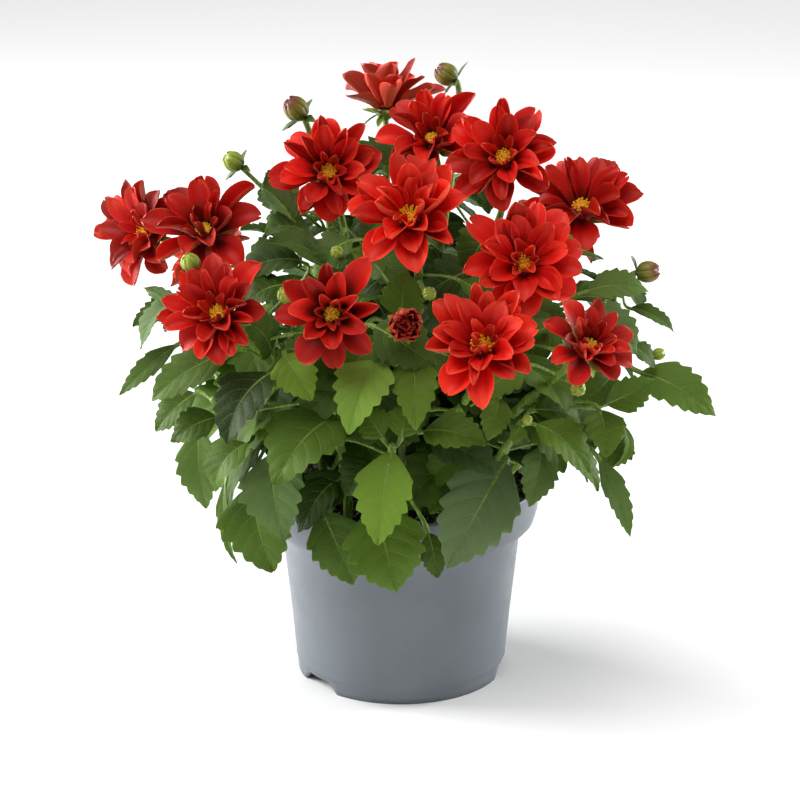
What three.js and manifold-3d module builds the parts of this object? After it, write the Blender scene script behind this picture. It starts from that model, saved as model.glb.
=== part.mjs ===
// A potted dwarf dahlia: a round nursery pot with soil, leafy stems with toothed leaves and green
// buds, and red semi-double blooms with yellow discs.
// Millimetres, +Z up. The plant's front faces -Y. The origin is the middle of the pot's foot, on
// the surface that the pot stands on.

import * as THREE from 'three';
import { mergeVertices } from 'three/addons/utils/BufferGeometryUtils.js';
import Module from 'manifold-3d';

const wasm = await Module();
wasm.setup();

// Pot: a 13 cm nursery pot with a collar, a raised base plate and three notches in its foot.
const POT_SIDES = 28;
const POT_HEIGHT = 95;
const POT_OUTSIDE = [
  [49.2, 0], [49.9, 7.4], [56.2, 68.5], [62.8, 75.4], [64.5, 80], [65.6, POT_HEIGHT],
];
const POT_INSIDE = [[63.8, POT_HEIGHT], [62.8, 80.4], [61.2, 76.8], [54.6, 69.6], [48.3, 9.8]];
const POT_BASE_TOP = [[19.5, 9.8], [16.4, 2], [0, 2]];
const POT_BASE_UNDER = [[0, 0], [17.6, 0], [20.6, 7.8], [47.7, 7.8], [47.5, 0]];
const NOTCH_AZIMUTHS = [-52, 79, 194];
const NOTCH_WIDTH = 15;
const NOTCH_HEIGHT = 5;
const NOTCH_NEAR = 42;
const NOTCH_DEPTH = 12;
const DRAIN_HOLES = 4;
const DRAIN_CIRCLE = 36;
const DRAIN_RADIUS = 4;
const DRAIN_SIDES = 6;
const PLATE_MIDDLE = 8.8;
const PLATE_CUT = 6;

// Soil: it fills the pot up to a little under the rim.
const SOIL_TOP = 88;
const SOIL_SIDES = 18;
const SOIL_WALL = [
  [0, 2.5], [15.6, 2.5], [18.8, 10.2], [47.4, 10.2], [53.6, 69.8], [60.2, 77.2], [61.8, 81], [62.2, 87],
];
const SOIL_RINGS = [46, 26];
const SOIL_CRUMB = 1.4;
const SOIL_SEED = 11;
const CRUMB_EDGE = 60;

// Stems: each stands 13 mm deep in a plain hole in the soil.
const STEM_SIDES = 5;
const STEM_STEPS = 5;
const STEM_FOOT_DEPTH = 13;
const STEM_FOOT_RADIUS = 2.3;
const STEM_TOP_RADIUS = 1.4;
const STEM_HOLE_RADIUS = 3.2;
const STEM_HOLE_MOUTH = 8;
const STEM_PULL = 0.28;
const STEM_END = -2.6;
const TWIG_RADIUS = 1.1;
const TWIG_SIDES = 4;
const TWIG_STEPS = 3;
const BUD_NECK = 9;

// Blooms, measured along the flower's own axis from the underside of its red base.
const CORE_HEIGHT = 3;
const STAGGER = 4;
const PETAL_EDGE = [[0, 0.32], [0.52, 1], [0.84, 0.7], [1, 0]];
const DISC_RADIUS = 4.1;
const DISC_HEIGHT = 3.4;
const DISC_SIDES = 8;
const DISC_RINGS = [[1, 0], [1, 0.35], [0.72, 0.8]];
const DISC_DIP = 0.72;
const BLOOM_GAP = 0.3;
const PETAL_THICKNESS = 0.9;
const CALYX = { count: 5, radius: 4.2, height: -2, length: 8, width: 3.6, tilt: -0.45 };
const CALYX_BOTTOM = -4.4;
const BRACT_SHAPE = { middle: [0], edge: [0, 0.45], thickness: 0.9 };
const BRACT_FOOT = 0.6;
const BRACT_LIFT = 0.2;
const BRACT_DROOP = 0.2;

// How many degrees a petal that points straight down sags at its tip, and how many a petal that
// points straight up stands up more at its root.
const PETAL_SAG = 28;
const PETAL_STAND = 8;

// How far a petal may stray from its row: degrees round the bloom, part of its length, degrees at
// its root, degrees at its tip, and degrees of twist.
const STRAY = { angle: 2.5, length: 0.07, start: 3, end: 6, twist: 6 };
const BLOOM_SEED = 100;
const HALF_OPEN_SEED = 7;

// Buds: rings of the head as place along it and width, and the bracts under it, as parts of the
// bud's radius. A small bud has no bracts.
const SMALL_BUD = 4;
const BUD_SIDES = 6;
const BUD_RINGS = [[-0.95, 0.34], [-0.45, 0.92], [0.35, 0.95], [0.9, 0.4]];
const BUD_BRACTS = { count: 3, radius: 0.45, height: -0.95, length: 1.7, width: 0.8, tilt: 0.17 };
const BUD_BRACTS_LOW = -1.25;
const BUD_BRACTS_HIGH = -0.6;
const BUD_SEAT = 0.8;

// Leaves: widths are parts of the leaf's half width, places are parts of the blade's length.
const LEAF_THICKNESS = 1;
const PETIOLE_HALF_WIDTH = 0.9;
const PETIOLE_PART = 0.2;
const LEAF_FOLD = 0.22;
const LEAF_EDGE = [[0.3, 1], [0.36, 0.86], [0.6, 0.82], [0.64, 0.62]];
const LEAF_MIDDLE = [0.45];
const LEAF_OUTWARD = 0.62;
const LEAF_UPWARD = 0.78;

// A pair leaf: how far its blade starts from the stem and above its joint, and the part of its
// length that its middle bows up.
const PAIR_AWAY = 9;
const PAIR_ABOVE = 8;
const PAIR_BOW = 1 / 8;

const RED = '#c4171a';
const DARK_RED = '#6e1418';
const YELLOW = '#dda21c';
const GREEN = '#4f6f35';
const GREY = '#7d858f';
const SOIL_BROWN = '#2a221c';

// Blooms: middle of the disc, azimuth the bloom faces (0 is the front, 90 is +X), its lift above
// level, how far its outer petals reach from its axis, and how many degrees its petals stand up
// more than on a wide open bloom.
const BLOOMS = {
  '01': { middle: [-118, 6, 211], azimuth: -50, lift: 22, reach: 28, cup: 10 },
  '02': { middle: [-86, -50, 227], azimuth: -18, lift: 50, reach: 28, cup: 7 },
  '03': { middle: [-77, -98, 203], azimuth: -20, lift: 36, reach: 24, cup: 6 },
  '04': { middle: [-29, -104, 204], azimuth: -8, lift: 20, reach: 25, cup: 7 },
  '05': { middle: [-32, -25, 247], azimuth: -6, lift: 30, reach: 26, cup: 1 },
  '06': { middle: [4, -62, 236], azimuth: -14, lift: 46, reach: 29, cup: 4 },
  '07': { middle: [-7, 52, 264], azimuth: 178, lift: 82, reach: 28, cup: 34 },
  '08': { middle: [14, 8, 255], azimuth: -16, lift: 50, reach: 27, cup: 4 },
  '09': { middle: [45, -26, 254], azimuth: -14, lift: 34, reach: 26, cup: 3 },
  '10': { middle: [82, 2, 225], azimuth: -2, lift: 56, reach: 29, cup: 5 },
  '11': { middle: [53, -66, 216], azimuth: 2, lift: 32, reach: 28, cup: 3 },
  '12': { middle: [34, -112, 193], azimuth: -8, lift: 42, reach: 27, cup: 4 },
  '13': { middle: [80, -92, 187], azimuth: 26, lift: 42, reach: 21, cup: 8 },
  '14': { middle: [-92, 60, 184], azimuth: -125, lift: 44, reach: 24, cup: 4 },
  '15': { middle: [74, 62, 199], azimuth: 140, lift: 46, reach: 24, cup: 6 },
};

// The half-open bloom: rolled dark petals in a ring, above green bracts.
const HALF_OPEN = { middle: [2, -100, 198], azimuth: 8, lift: 18, reach: 9, cup: 0 };

// Rows of petals of an open bloom: how many, where the root sits in the red base, its length and
// width as parts of the bloom's reach, how far its edges cup, and the angles above the bloom's
// plane at root and tip. Every second petal of an even row stands STAGGER degrees higher, stands
// tells how much of a bloom's cup the row follows, and sags how much of PETAL_SAG. Petals are
// narrower in a cupped bloom.
const PETAL_ROWS = [
  { count: 8, radius: 6, height: 1, length: 0.8, width: 0.48,
    cup: 0.24, start: 22, end: 2, stands: 0.8, sags: 1 },
  { count: 7, radius: 5.2, height: 2.4, length: 0.68, width: 0.35,
    cup: 0.3, start: 56, end: 26, stands: 0.5, sags: 0.3 },
];
const ROLLED_ROWS = [
  { count: 9, radius: 4.6, height: 1.4, length: 0.95, width: 0.44,
    cup: 0.3, start: 58, end: 84, stands: 0, sags: 0 },
];

// Stems. A leaf row holds: place along the stem, base of the blade, tip of the blade, width, how
// far the middle bows up, and how far the blade is turned about its length. A bud row holds: place
// along the stem, middle of the bud, the azimuth and lift it faces, and its radius. A pairs row is
// a leaf seen less closely: place along the stem, azimuth, length, width, and droop below level.
const STEMS = [
  { root: [-36, -2], bloom: '01', rise: 55, leaves: [
    [0.62, [-100, -26, 184], [-120, -34, 178], 16, 3, -30],
    [0.5, [-88, 14, 172], [-112, 26, 158], 26, 5, 0],
  ], buds: [], pairs: [
    [0.28, -130, 42, 30, 40],
  ] },
  { root: [-29, -14], bloom: '02', rise: 60, leaves: [
    [0.6, [-99, -48, 188], [-112, -56, 202], 20, 2, 0],
    [0.55, [-100, -42, 172], [-126, -44, 149], 10, 4, -50],
  ], buds: [[0.64, [-89, -85, 221], -40, 60, 4]] },
  { root: [-24, -28], bloom: '03', rise: 50, leaves: [
    [0.6, [-74, -78, 180], [-108, -80, 158], 20, 5, -25],
    [0.55, [-56, -72, 178], [-68, -82, 196], 22, 3, 0],
  ], buds: [] },
  { root: [-10, -34], bloom: '04', rise: 50, leaves: [
    [0.6, [-50, -84, 180], [-38, -98, 164], 20, 4, 0],
    [0.5, [-10, -86, 178], [-22, -113, 154], 25, 7, 0],
  ], buds: [[0.7, [-49, -82, 206], -30, 40, 3.6]] },
  { root: [-14, -8], bloom: '05', rise: 70, leaves: [
    [0.6, [-48, -18, 222], [-62, -24, 240], 20, 3, 0],
    [0.6, [-34, -36, 208], [-58, -46, 220], 24, 4, 0],
  ], buds: [[0.7, [-28, -52, 217], 0, 40, 2.8]] },
  { root: [2, -20], bloom: '06', rise: 60, leaves: [
    [0.6, [-8, -56, 208], [-22, -60, 220], 17, 3, 0],
    [0.55, [0, -66, 192], [2, -68, 213], 20, 2, 0],
  ], buds: [[0.7, [12, -76, 205], 10, 30, 3]] },
  { root: [-4, 12], bloom: '07', rise: 80, leaves: [
    [0.5, [-24, 34, 206], [-46, 46, 202], 26, 6, 0],
    [0.62, [16, 30, 220], [36, 42, 218], 22, 5, 0],
  ], buds: [], pairs: [
    [0.35, -150, 42, 28, 25], [0.7, 150, 30, 22, 15],
  ] },
  { root: [6, 1], bloom: '08', rise: 80, leaves: [
    [0.6, [-4, -14, 222], [-16, -30, 216], 20, 4, 0],
  ], buds: [], pairs: [
    [0.45, 185, 34, 24, 25],
  ] },
  { root: [18, -4], bloom: '09', rise: 80, leaves: [
    [0.68, [38, -34, 222], [28, -42, 206], 22, 4, 0],
  ], buds: [] },
  { root: [30, -6], bloom: '10', rise: 60, leaves: [
    [0.62, [84, -18, 190], [112, -18, 190], 17, 5, 30],
    [0.5, [78, 10, 178], [104, 22, 166], 26, 6, 0],
  ], buds: [], pairs: [
    [0.3, 140, 42, 30, 40], [0.45, 100, 42, 30, 35], [0.72, 150, 32, 22, 20],
  ] },
  { root: [18, -20], bloom: '11', rise: 60, leaves: [
    [0.62, [80, -52, 190], [104, -56, 172], 22, 5, 30],
    [0.5, [28, -64, 186], [24, -84, 176], 20, 4, 0],
  ], buds: [] },
  { root: [12, -36], bloom: '12', rise: 45, leaves: [
    [0.5, [42, -88, 162], [37, -98, 146], 14, 3, 0],
    [0.4, [10, -88, 147], [36, -104, 146], 22, 4, 0],
    [0.3, [13, -62, 134], [42, -76, 123], 24, 4, 0],
  ], buds: [] },
  { root: [30, -26], bloom: '13', rise: 40, leaves: [
    [0.6, [90, -66, 152], [112, -62, 162], 16, 2, 40],
    [0.55, [86, -80, 154], [88, -94, 137], 18, 4, 20],
  ], buds: [[0.75, [76, -84, 165], 0, 0, 3.4]] },
  { root: [1, -42], bloom: 'half_open', rise: 50, leaves: [
    [0.45, [5, -84, 178], [6, -108, 154], 20, 6, 0],
  ], buds: [] },
  { root: [-20, 26], bloom: '14', rise: 60, leaves: [
    [0.5, [-66, 74, 152], [-84, 96, 136], 28, 6, 0],
    [0.55, [-42, 74, 176], [-44, 100, 158], 28, 6, 0],
  ], buds: [], pairs: [
    [0.25, -170, 46, 32, 50], [0.4, -110, 42, 30, 30],
  ] },
  { root: [24, 24], bloom: '15', rise: 60, leaves: [
    [0.6, [92, 44, 178], [116, 52, 160], 28, 6, 0],
    [0.5, [50, 74, 172], [56, 102, 152], 28, 6, 0],
  ], buds: [], pairs: [
    [0.25, 165, 46, 32, 50], [0.35, 110, 42, 30, 35], [0.75, 90, 32, 22, 15],
  ] },
  { root: [2, 34], bud: [[4, 82, 216], 178, 50, 5], rise: 70, leaves: [], buds: [], pairs: [
    [0.3, 180, 46, 32, 45], [0.42, -130, 44, 30, 35], [0.5, 135, 44, 30, 35],
    [0.65, 175, 40, 28, 30], [0.8, -110, 34, 24, 20], [0.85, 110, 34, 24, 20],
  ] },
  { root: [-22, 8], bud: [[-48, 20, 266], -60, 50, 5.6], rise: 90, leaves: [
    [0.5, [-48, 2, 226], [-60, -4, 243], 18, 3, 0],
    [0.5, [-46, 26, 204], [-68, 26, 200], 24, 5, 0],
  ], buds: [[0.42, [-76, 4, 245], -60, 40, 4.6]] },
  { root: [10, 18], bud: [[21, 30, 280], -90, 35, 5.2], rise: 90, leaves: [
    [0.55, [40, 34, 206], [62, 40, 194], 26, 6, 0],
  ], buds: [], pairs: [
    [0.4, 150, 42, 28, 25],
  ] },
  { root: [42, -8], bud: [[112, -10, 197], 70, 10, 5], rise: 40, leaves: [
    [0.7, [108, -32, 156], [141, -46, 140], 22, 6, 45],
    [0.85, [104, -14, 181], [124, -18, 171], 12, 3, 20],
    [0.8, [102, -40, 171], [114, -38, 160], 12, 2, 20],
  ], buds: [[0.75, [116, -30, 164], 60, 20, 2.8]], pairs: [
    [0.35, 70, 44, 30, 50], [0.5, 100, 38, 26, 40],
  ] },
  { root: [-4, -53], tip: [-4, -92, 142], rise: 30, leaves: [
    [0.98, [-4, -94, 140], [-10, -107, 102], 25, 6, 0],
    [0.6, [-12, -76, 107], [-2, -88, 72], 36, 4, 0],
    [0.9, [-8, -88, 144], [-18, -84, 156], 16, 2, 0],
    [0.9, [0, -88, 144], [4, -82, 158], 16, 2, 0],
    [0.5, [12, -72, 94], [16, -76, 74], 14, 2, 0],
    [0.5, [-12, -68, 126], [-24, -76, 113], 22, 3, 0],
  ], buds: [] },
  { root: [38, -38], tip: [52, -84, 150], rise: 30, leaves: [
    [0.95, [58, -88, 150], [80, -100, 132], 23, 5, 0],
    [0.4, [46, -68, 126], [20, -84, 82], 34, 6, 0],
    [0.6, [62, -66, 130], [58, -80, 112], 16, 3, 0],
    [0.93, [51, -90, 150], [48, -97, 144], 8, 2, 0],
  ], buds: [[0.98, [54, -94, 154], 0, 40, 2.2]] },
  { root: [-24, -42], tip: [-40, -80, 168], rise: 50, leaves: [
    [0.7, [-28, -84, 152], [-54, -110, 130], 36, 7, 0],
    [0.9, [-56, -84, 172], [-74, -102, 146], 28, 7, 0],
    [0.4, [-28, -62, 116], [-44, -74, 96], 20, 4, 0],
    [0.5, [-56, -74, 132], [-51, -90, 98], 30, 6, 0],
    [0.8, [-80, -78, 150], [-100, -82, 140], 17, 3, -20],
    [0.32, [-35, -66, 102], [-21, -76, 71], 25, 3, 0],
  ], buds: [] },
  { root: [-42, -22], tip: [-84, -52, 150], rise: 40, leaves: [
    [0.9, [-90, -52, 136], [-87, -60, 101], 20, 6, -30],
    [0.7, [-68, -66, 134], [-82, -74, 114], 23, 5, 0],
    [0.5, [-66, -58, 112], [-57, -68, 74], 36, 5, 0],
    [0.6, [-80, -38, 106], [-75, -44, 68], 9, 4, 0],
    [0.97, [-92, -44, 150], [-110, -44, 132], 18, 3, -30],
  ], buds: [], pairs: [
    [0.35, -75, 40, 28, 60],
  ] },
  { root: [45, -24], tip: [86, -60, 142], rise: 30, leaves: [
    [0.8, [87, -70, 128], [101, -80, 95], 11, 5, 35],
    [0.9, [98, -52, 139], [93, -58, 119], 6, 9, 0],
  ], buds: [], pairs: [
    [0.5, 60, 40, 28, 60],
  ] },
];

const vec = (p) => new THREE.Vector3(...p);
const rad = THREE.MathUtils.degToRad;
const UP = new THREE.Vector3(0, 0, 1);

// A repeatable row of draws between -1 and 1.
function draws(seed) {
  let state = seed >>> 0;
  return () => {
    state = (Math.imul(state, 1664525) + 1013904223) >>> 0;
    return (state / 4294967296) * 2 - 1;
  };
}

// The way something faces: 0 is the front (-Y), 90 is +X, and the lift is above level.
function facing(azimuth, lift) {
  const a = rad(azimuth);
  const l = rad(lift);
  return new THREE.Vector3(Math.sin(a) * Math.cos(l), -Math.cos(a) * Math.cos(l), Math.sin(l));
}

// Three directions and a place: out of the face, and two across it, measured by radius, angle and
// height. slanted gives the way along a blade that leaves the axis at an angle round it and a tilt
// above the face, and the way up from that blade.
function frameAt(origin, out) {
  const side = UP.clone().cross(out).normalize();
  const rise = out.clone().cross(side);
  const at = (r, angle, height) => origin.clone()
    .addScaledVector(side, r * Math.cos(angle))
    .addScaledVector(rise, r * Math.sin(angle))
    .addScaledVector(out, height);
  const slanted = (angle, tilt) => {
    const away = side.clone().multiplyScalar(Math.cos(angle)).addScaledVector(rise, Math.sin(angle));
    return {
      along: away.clone().multiplyScalar(Math.cos(tilt)).addScaledVector(out, Math.sin(tilt)),
      up: away.clone().multiplyScalar(-Math.sin(tilt)).addScaledVector(out, Math.cos(tilt)),
    };
  };
  return { out, side, rise, origin, at, slanted };
}

// A geometry from corner points and triangles, with the faces turned outward.
function closedGeometry(points, triangles) {
  let volume = 0;
  for (const [a, b, c] of triangles) {
    volume += points[a].dot(points[b].clone().cross(points[c]));
  }
  const ordered = volume > 0 ? triangles : triangles.map(([a, b, c]) => [a, c, b]);
  const places = points.flatMap((p) => p.toArray());
  const geometry = new THREE.BufferGeometry();
  geometry.setAttribute('position', new THREE.Float32BufferAttribute(places, 3));
  geometry.setIndex(ordered.flat());
  return geometry;
}

// A solid for joining and cutting, from a closed geometry with its shared corners merged.
function toSolid(geometry) {
  const bare = geometry.clone();
  bare.deleteAttribute('normal');
  bare.deleteAttribute('uv');
  const merged = mergeVertices(bare, 1e-4);
  const corners = [];
  for (let i = 0; i < merged.index.count; i += 3) {
    const [a, b, c] = [0, 1, 2].map((k) => merged.index.getX(i + k));
    if (a !== b && b !== c && c !== a) corners.push(a, b, c);
  }
  return new wasm.Manifold(new wasm.Mesh({
    numProp: 3,
    vertProperties: new Float32Array(merged.attributes.position.array),
    triVerts: new Uint32Array(corners),
  }));
}

function toGeometry(solid) {
  const mesh = solid.getMesh();
  const places = new Float32Array(mesh.vertProperties);
  const geometry = new THREE.BufferGeometry();
  geometry.setAttribute('position', new THREE.BufferAttribute(places, 3));
  geometry.setIndex(new THREE.BufferAttribute(new Uint32Array(mesh.triVerts), 1));
  return geometry;
}

const joinAll = (solids) => solids.reduce((sum, next) => sum.add(next));

// The faces of a thin blade, open at its root. The two faces share one sharp outline and stand
// apart along the middle line, and both are split into the same triangles.
// section(u) gives the middle point, the way across, the way up, the half width and how far the
// edges are lifted. The result holds the four corners of the root.
function bladeFaces(points, triangles, section, { middle, edge, thickness }) {
  const add = (p) => points.push(p) - 1;
  const tip = add(section(1).middle);
  const line = (places, across, off) => places.map((u) => {
    const s = section(u);
    return add(s.middle.clone()
      .addScaledVector(s.across, across * s.half)
      .addScaledVector(s.up, off + (across ? s.lift : 0)));
  });
  const top = line(middle, 0, thickness / 2);
  const under = line(middle, 0, -thickness / 2);
  const left = line(edge, -1, 0);
  const right = line(edge, 1, 0);
  const strip = (inner, outer, flip) => {
    let i = 0;
    let j = 0;
    const put = (a, b, c) => triangles.push(flip ? [a, c, b] : [a, b, c]);
    while (i < inner.length - 1 || j < outer.length - 1) {
      const nextInner = i < inner.length - 1 ? middle[i + 1] : 2;
      const nextOuter = j < outer.length - 1 ? edge[j + 1] : 2;
      if (nextInner <= nextOuter) {
        put(inner[i], inner[i + 1], outer[j]);
        i += 1;
      } else {
        put(inner[i], outer[j + 1], outer[j]);
        j += 1;
      }
    }
    put(inner[i], tip, outer[j]);
  };
  strip(top, left, false);
  strip(top, right, true);
  strip(under, left, true);
  strip(under, right, false);
  return { top: top[0], under: under[0], left: left[0], right: right[0] };
}

function bladeSolid(section, shape) {
  const points = [];
  const triangles = [];
  const { top, under, left, right } = bladeFaces(points, triangles, section, shape);
  triangles.push([top, left, under], [top, under, right]);
  return toSolid(closedGeometry(points, triangles));
}

// A closed head with rows of blades round it, the lowest row first. Neighbouring rows are joined
// by a band, and the head is closed by a low point below and a high point above, on its axis.
// Each blade is { angle, section, shape }, in order of its angle.
function headGeometry(frame, rows, low, high) {
  const points = [frame.at(0, 0, low), frame.at(0, 0, high)];
  const triangles = [];
  const angleOf = (index) => {
    const arm = points[index].clone().sub(frame.origin);
    return Math.atan2(arm.dot(frame.rise), arm.dot(frame.side));
  };
  const loopOf = (roots, face) => {
    const loop = roots.flatMap((root) => [root.right, root[face], root.left]);
    const angles = loop.map(angleOf);
    for (let i = 1; i < angles.length; i += 1) {
      while (angles[i] < angles[i - 1]) angles[i] += 2 * Math.PI;
    }
    return { loop, angles };
  };
  const cap = (loop, centre, flip) => loop.forEach((a, i) => {
    const b = loop[(i + 1) % loop.length];
    triangles.push(flip ? [centre, b, a] : [centre, a, b]);
  });
  const band = (lower, upper) => {
    const n = lower.loop.length;
    const m = upper.loop.length;
    const turn = 2 * Math.PI;
    const shift = turn * Math.floor((lower.angles[0] - upper.angles[0]) / turn);
    const lowerAngle = (i) => lower.angles[i % n] + turn * Math.floor(i / n);
    const upperAngle = (j) => upper.angles[j % m] + shift + turn * Math.floor(j / m);
    let first = 0;
    while (upperAngle(first) < lowerAngle(0)) first += 1;
    let i = 0;
    let j = first;
    while (i < n || j < first + m) {
      const upperDone = j >= first + m;
      const a = lower.loop[i % n];
      const b = upper.loop[j % m];
      if (upperDone || (i < n && lowerAngle(i + 1) <= upperAngle(j + 1))) {
        triangles.push([a, lower.loop[(i + 1) % n], b]);
        i += 1;
      } else {
        triangles.push([a, upper.loop[(j + 1) % m], b]);
        j += 1;
      }
    }
  };
  let below = null;
  for (const row of rows) {
    const roots = row.map(({ section, shape }) => bladeFaces(points, triangles, section, shape));
    const underLoop = loopOf(roots, 'under');
    if (below) band(below, underLoop);
    else cap(underLoop.loop, 0, true);
    below = loopOf(roots, 'top');
  }
  cap(below.loop, 1, false);
  return closedGeometry(points, triangles);
}

// A tube with a round-cornered path: one ring of corners at each point, and flat ends.
function tubeSolid(path, radii, sides) {
  const points = [];
  const triangles = [];
  const first = path[1].clone().sub(path[0]).normalize();
  let across = Math.abs(first.x) > 0.7 ? new THREE.Vector3(0, 1, 0) : new THREE.Vector3(1, 0, 0);
  path.forEach((p, i) => {
    const before = path[Math.max(i - 1, 0)];
    const after = path[Math.min(i + 1, path.length - 1)];
    const along = after.clone().sub(before).normalize();
    across = across.clone().addScaledVector(along, -across.dot(along)).normalize();
    const other = along.clone().cross(across);
    for (let k = 0; k < sides; k += 1) {
      const a = (2 * Math.PI * k) / sides;
      points.push(p.clone()
        .addScaledVector(across, radii[i] * Math.cos(a))
        .addScaledVector(other, radii[i] * Math.sin(a)));
    }
  });
  for (let i = 0; i < path.length - 1; i += 1) {
    for (let k = 0; k < sides; k += 1) {
      const a = i * sides + k;
      const b = i * sides + ((k + 1) % sides);
      triangles.push([a, b, b + sides], [a, b + sides, a + sides]);
    }
  }
  const last = (path.length - 1) * sides;
  for (let k = 1; k < sides - 1; k += 1) {
    triangles.push([0, k + 1, k], [last, last + k, last + k + 1]);
  }
  return toSolid(closedGeometry(points, triangles));
}

// Pot

function latheSolid(profile, sides) {
  const outline = profile.map(([r, z]) => new THREE.Vector2(r, z));
  const geometry = new THREE.LatheGeometry(outline, sides);
  geometry.rotateX(Math.PI / 2);
  return toSolid(geometry);
}

// A notch has slanted ends, so it is wider at the surface that the pot stands on.
function notchCutter(azimuth) {
  const shape = new THREE.Shape();
  const half = NOTCH_WIDTH / 2;
  shape.moveTo(-half - NOTCH_HEIGHT - 1, -1);
  shape.lineTo(half + NOTCH_HEIGHT + 1, -1);
  shape.lineTo(half, NOTCH_HEIGHT);
  shape.lineTo(-half, NOTCH_HEIGHT);
  shape.closePath();
  const geometry = new THREE.ExtrudeGeometry(shape, { depth: NOTCH_DEPTH, bevelEnabled: false });
  geometry.rotateX(Math.PI / 2);
  geometry.translate(0, -NOTCH_NEAR, 0);
  geometry.rotateZ(rad(azimuth));
  return toSolid(geometry);
}

function drainCutter(index) {
  const a = (2 * Math.PI * (index + 0.5)) / DRAIN_HOLES;
  const geometry = new THREE.CylinderGeometry(DRAIN_RADIUS, DRAIN_RADIUS, PLATE_CUT, DRAIN_SIDES);
  geometry.rotateX(Math.PI / 2);
  geometry.translate(DRAIN_CIRCLE * Math.cos(a), DRAIN_CIRCLE * Math.sin(a), PLATE_MIDDLE);
  return toSolid(geometry);
}

function potGeometry() {
  const profile = [...POT_BASE_UNDER, ...POT_OUTSIDE, ...POT_INSIDE, ...POT_BASE_TOP];
  let pot = latheSolid(profile, POT_SIDES);
  for (const azimuth of NOTCH_AZIMUTHS) pot = pot.subtract(notchCutter(azimuth));
  for (let i = 0; i < DRAIN_HOLES; i += 1) pot = pot.subtract(drainCutter(i));
  return toGeometry(pot);
}

// Soil: its top is crumbly, raised and sunk by a seeded draw, and each stem has its hole in it.

function soilGeometry() {
  const random = draws(SOIL_SEED);
  const rings = SOIL_RINGS.map((r) => [r, SOIL_TOP]);
  const outline = [...SOIL_WALL, ...rings, [0, SOIL_TOP]].map(([r, z]) => new THREE.Vector2(r, z));
  const bare = new THREE.LatheGeometry(outline, SOIL_SIDES);
  bare.rotateX(Math.PI / 2);
  bare.deleteAttribute('normal');
  bare.deleteAttribute('uv');
  const geometry = mergeVertices(bare, 1e-4);
  const place = geometry.attributes.position;
  for (let i = 0; i < place.count; i += 1) {
    const r = Math.hypot(place.getX(i), place.getY(i));
    if (place.getZ(i) === SOIL_TOP && r < CRUMB_EDGE) place.setZ(i, SOIL_TOP + SOIL_CRUMB * random());
  }
  let soil = toSolid(geometry);
  const depth = STEM_FOOT_DEPTH + BLOOM_GAP + STEM_HOLE_MOUTH;
  for (const { root: [x, y] } of STEMS) {
    const hole = new THREE.CylinderGeometry(STEM_HOLE_RADIUS, STEM_HOLE_RADIUS, depth, STEM_SIDES);
    hole.rotateX(Math.PI / 2);
    hole.translate(x, y, SOIL_TOP + STEM_HOLE_MOUTH - depth / 2);
    soil = soil.subtract(toSolid(hole));
  }
  return toGeometry(soil);
}

// Blooms

function bloomFrame({ middle, azimuth, lift }) {
  const out = facing(azimuth, lift);
  return frameAt(vec(middle).addScaledVector(out, -CORE_HEIGHT - DISC_HEIGHT / 2), out);
}

// One petal: its middle line is an arc in the plane through the bloom's axis, its two edges are
// lifted into a shallow cup, and it is widest beyond its middle.
function petalBlade(frame, row, { angle, length, width, start, end, twist }) {
  const bend = end - start;
  const section = (u) => {
    const tilt = start + bend * u;
    const out = row.radius + (length * (Math.sin(tilt) - Math.sin(start))) / bend;
    const height = row.height + (length * (Math.cos(start) - Math.cos(tilt))) / bend;
    const { along, up } = frame.slanted(angle, tilt);
    up.applyAxisAngle(along, twist * u);
    const half = (width / 2) * PETAL_WIDTH(u);
    return {
      middle: frame.at(out, angle, height),
      across: along.clone().cross(up),
      up,
      half,
      lift: half * row.cup,
    };
  };
  return { angle, section, shape: PETAL_SHAPE };
}

// Straight stretches between the listed places and half widths.
function widthTable(rows) {
  return (u) => {
    const next = Math.max(1, rows.findIndex(([place]) => place >= u));
    const [a, wa] = rows[next - 1];
    const [b, wb] = rows[next];
    return wa + ((wb - wa) * (u - a)) / (b - a);
  };
}

const PETAL_WIDTH = widthTable(PETAL_EDGE);
const PETAL_SHAPE = {
  middle: [0, 0.5], edge: PETAL_EDGE.slice(0, -1).map(([u]) => u), thickness: PETAL_THICKNESS,
};

function petalsGeometry(bloom, rows, seed) {
  const frame = bloomFrame(bloom);
  const random = draws(seed);
  const blades = rows.map((row) => {
    const phase = 180 * random();
    return Array.from({ length: row.count }, (unused, i) => {
      const side = i % 2 ? -1 : 1;
      const stagger = row.count % 2 ? 0 : side * STAGGER;
      const raised = stagger + bloom.cup * row.stands;
      const angle = rad(phase + (360 * i) / row.count + STRAY.angle * random());
      const length = row.length * bloom.reach * (1 + STRAY.length * random());
      const upward = Math.sin(angle) * frame.rise.z;
      const stand = PETAL_STAND * row.sags * Math.max(0, upward);
      const sag = PETAL_SAG * row.sags * Math.max(0, -upward);
      const start = rad(row.start + raised + stand + STRAY.start * random());
      const end = rad(row.end + raised - sag + STRAY.end * random());
      const width = row.width * bloom.reach * (1 - bloom.cup / 100);
      const twist = rad(STRAY.twist * random());
      return petalBlade(frame, row, { angle, length, width, start, end, twist });
    });
  });
  return headGeometry(frame, blades, 0, CORE_HEIGHT);
}

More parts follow.
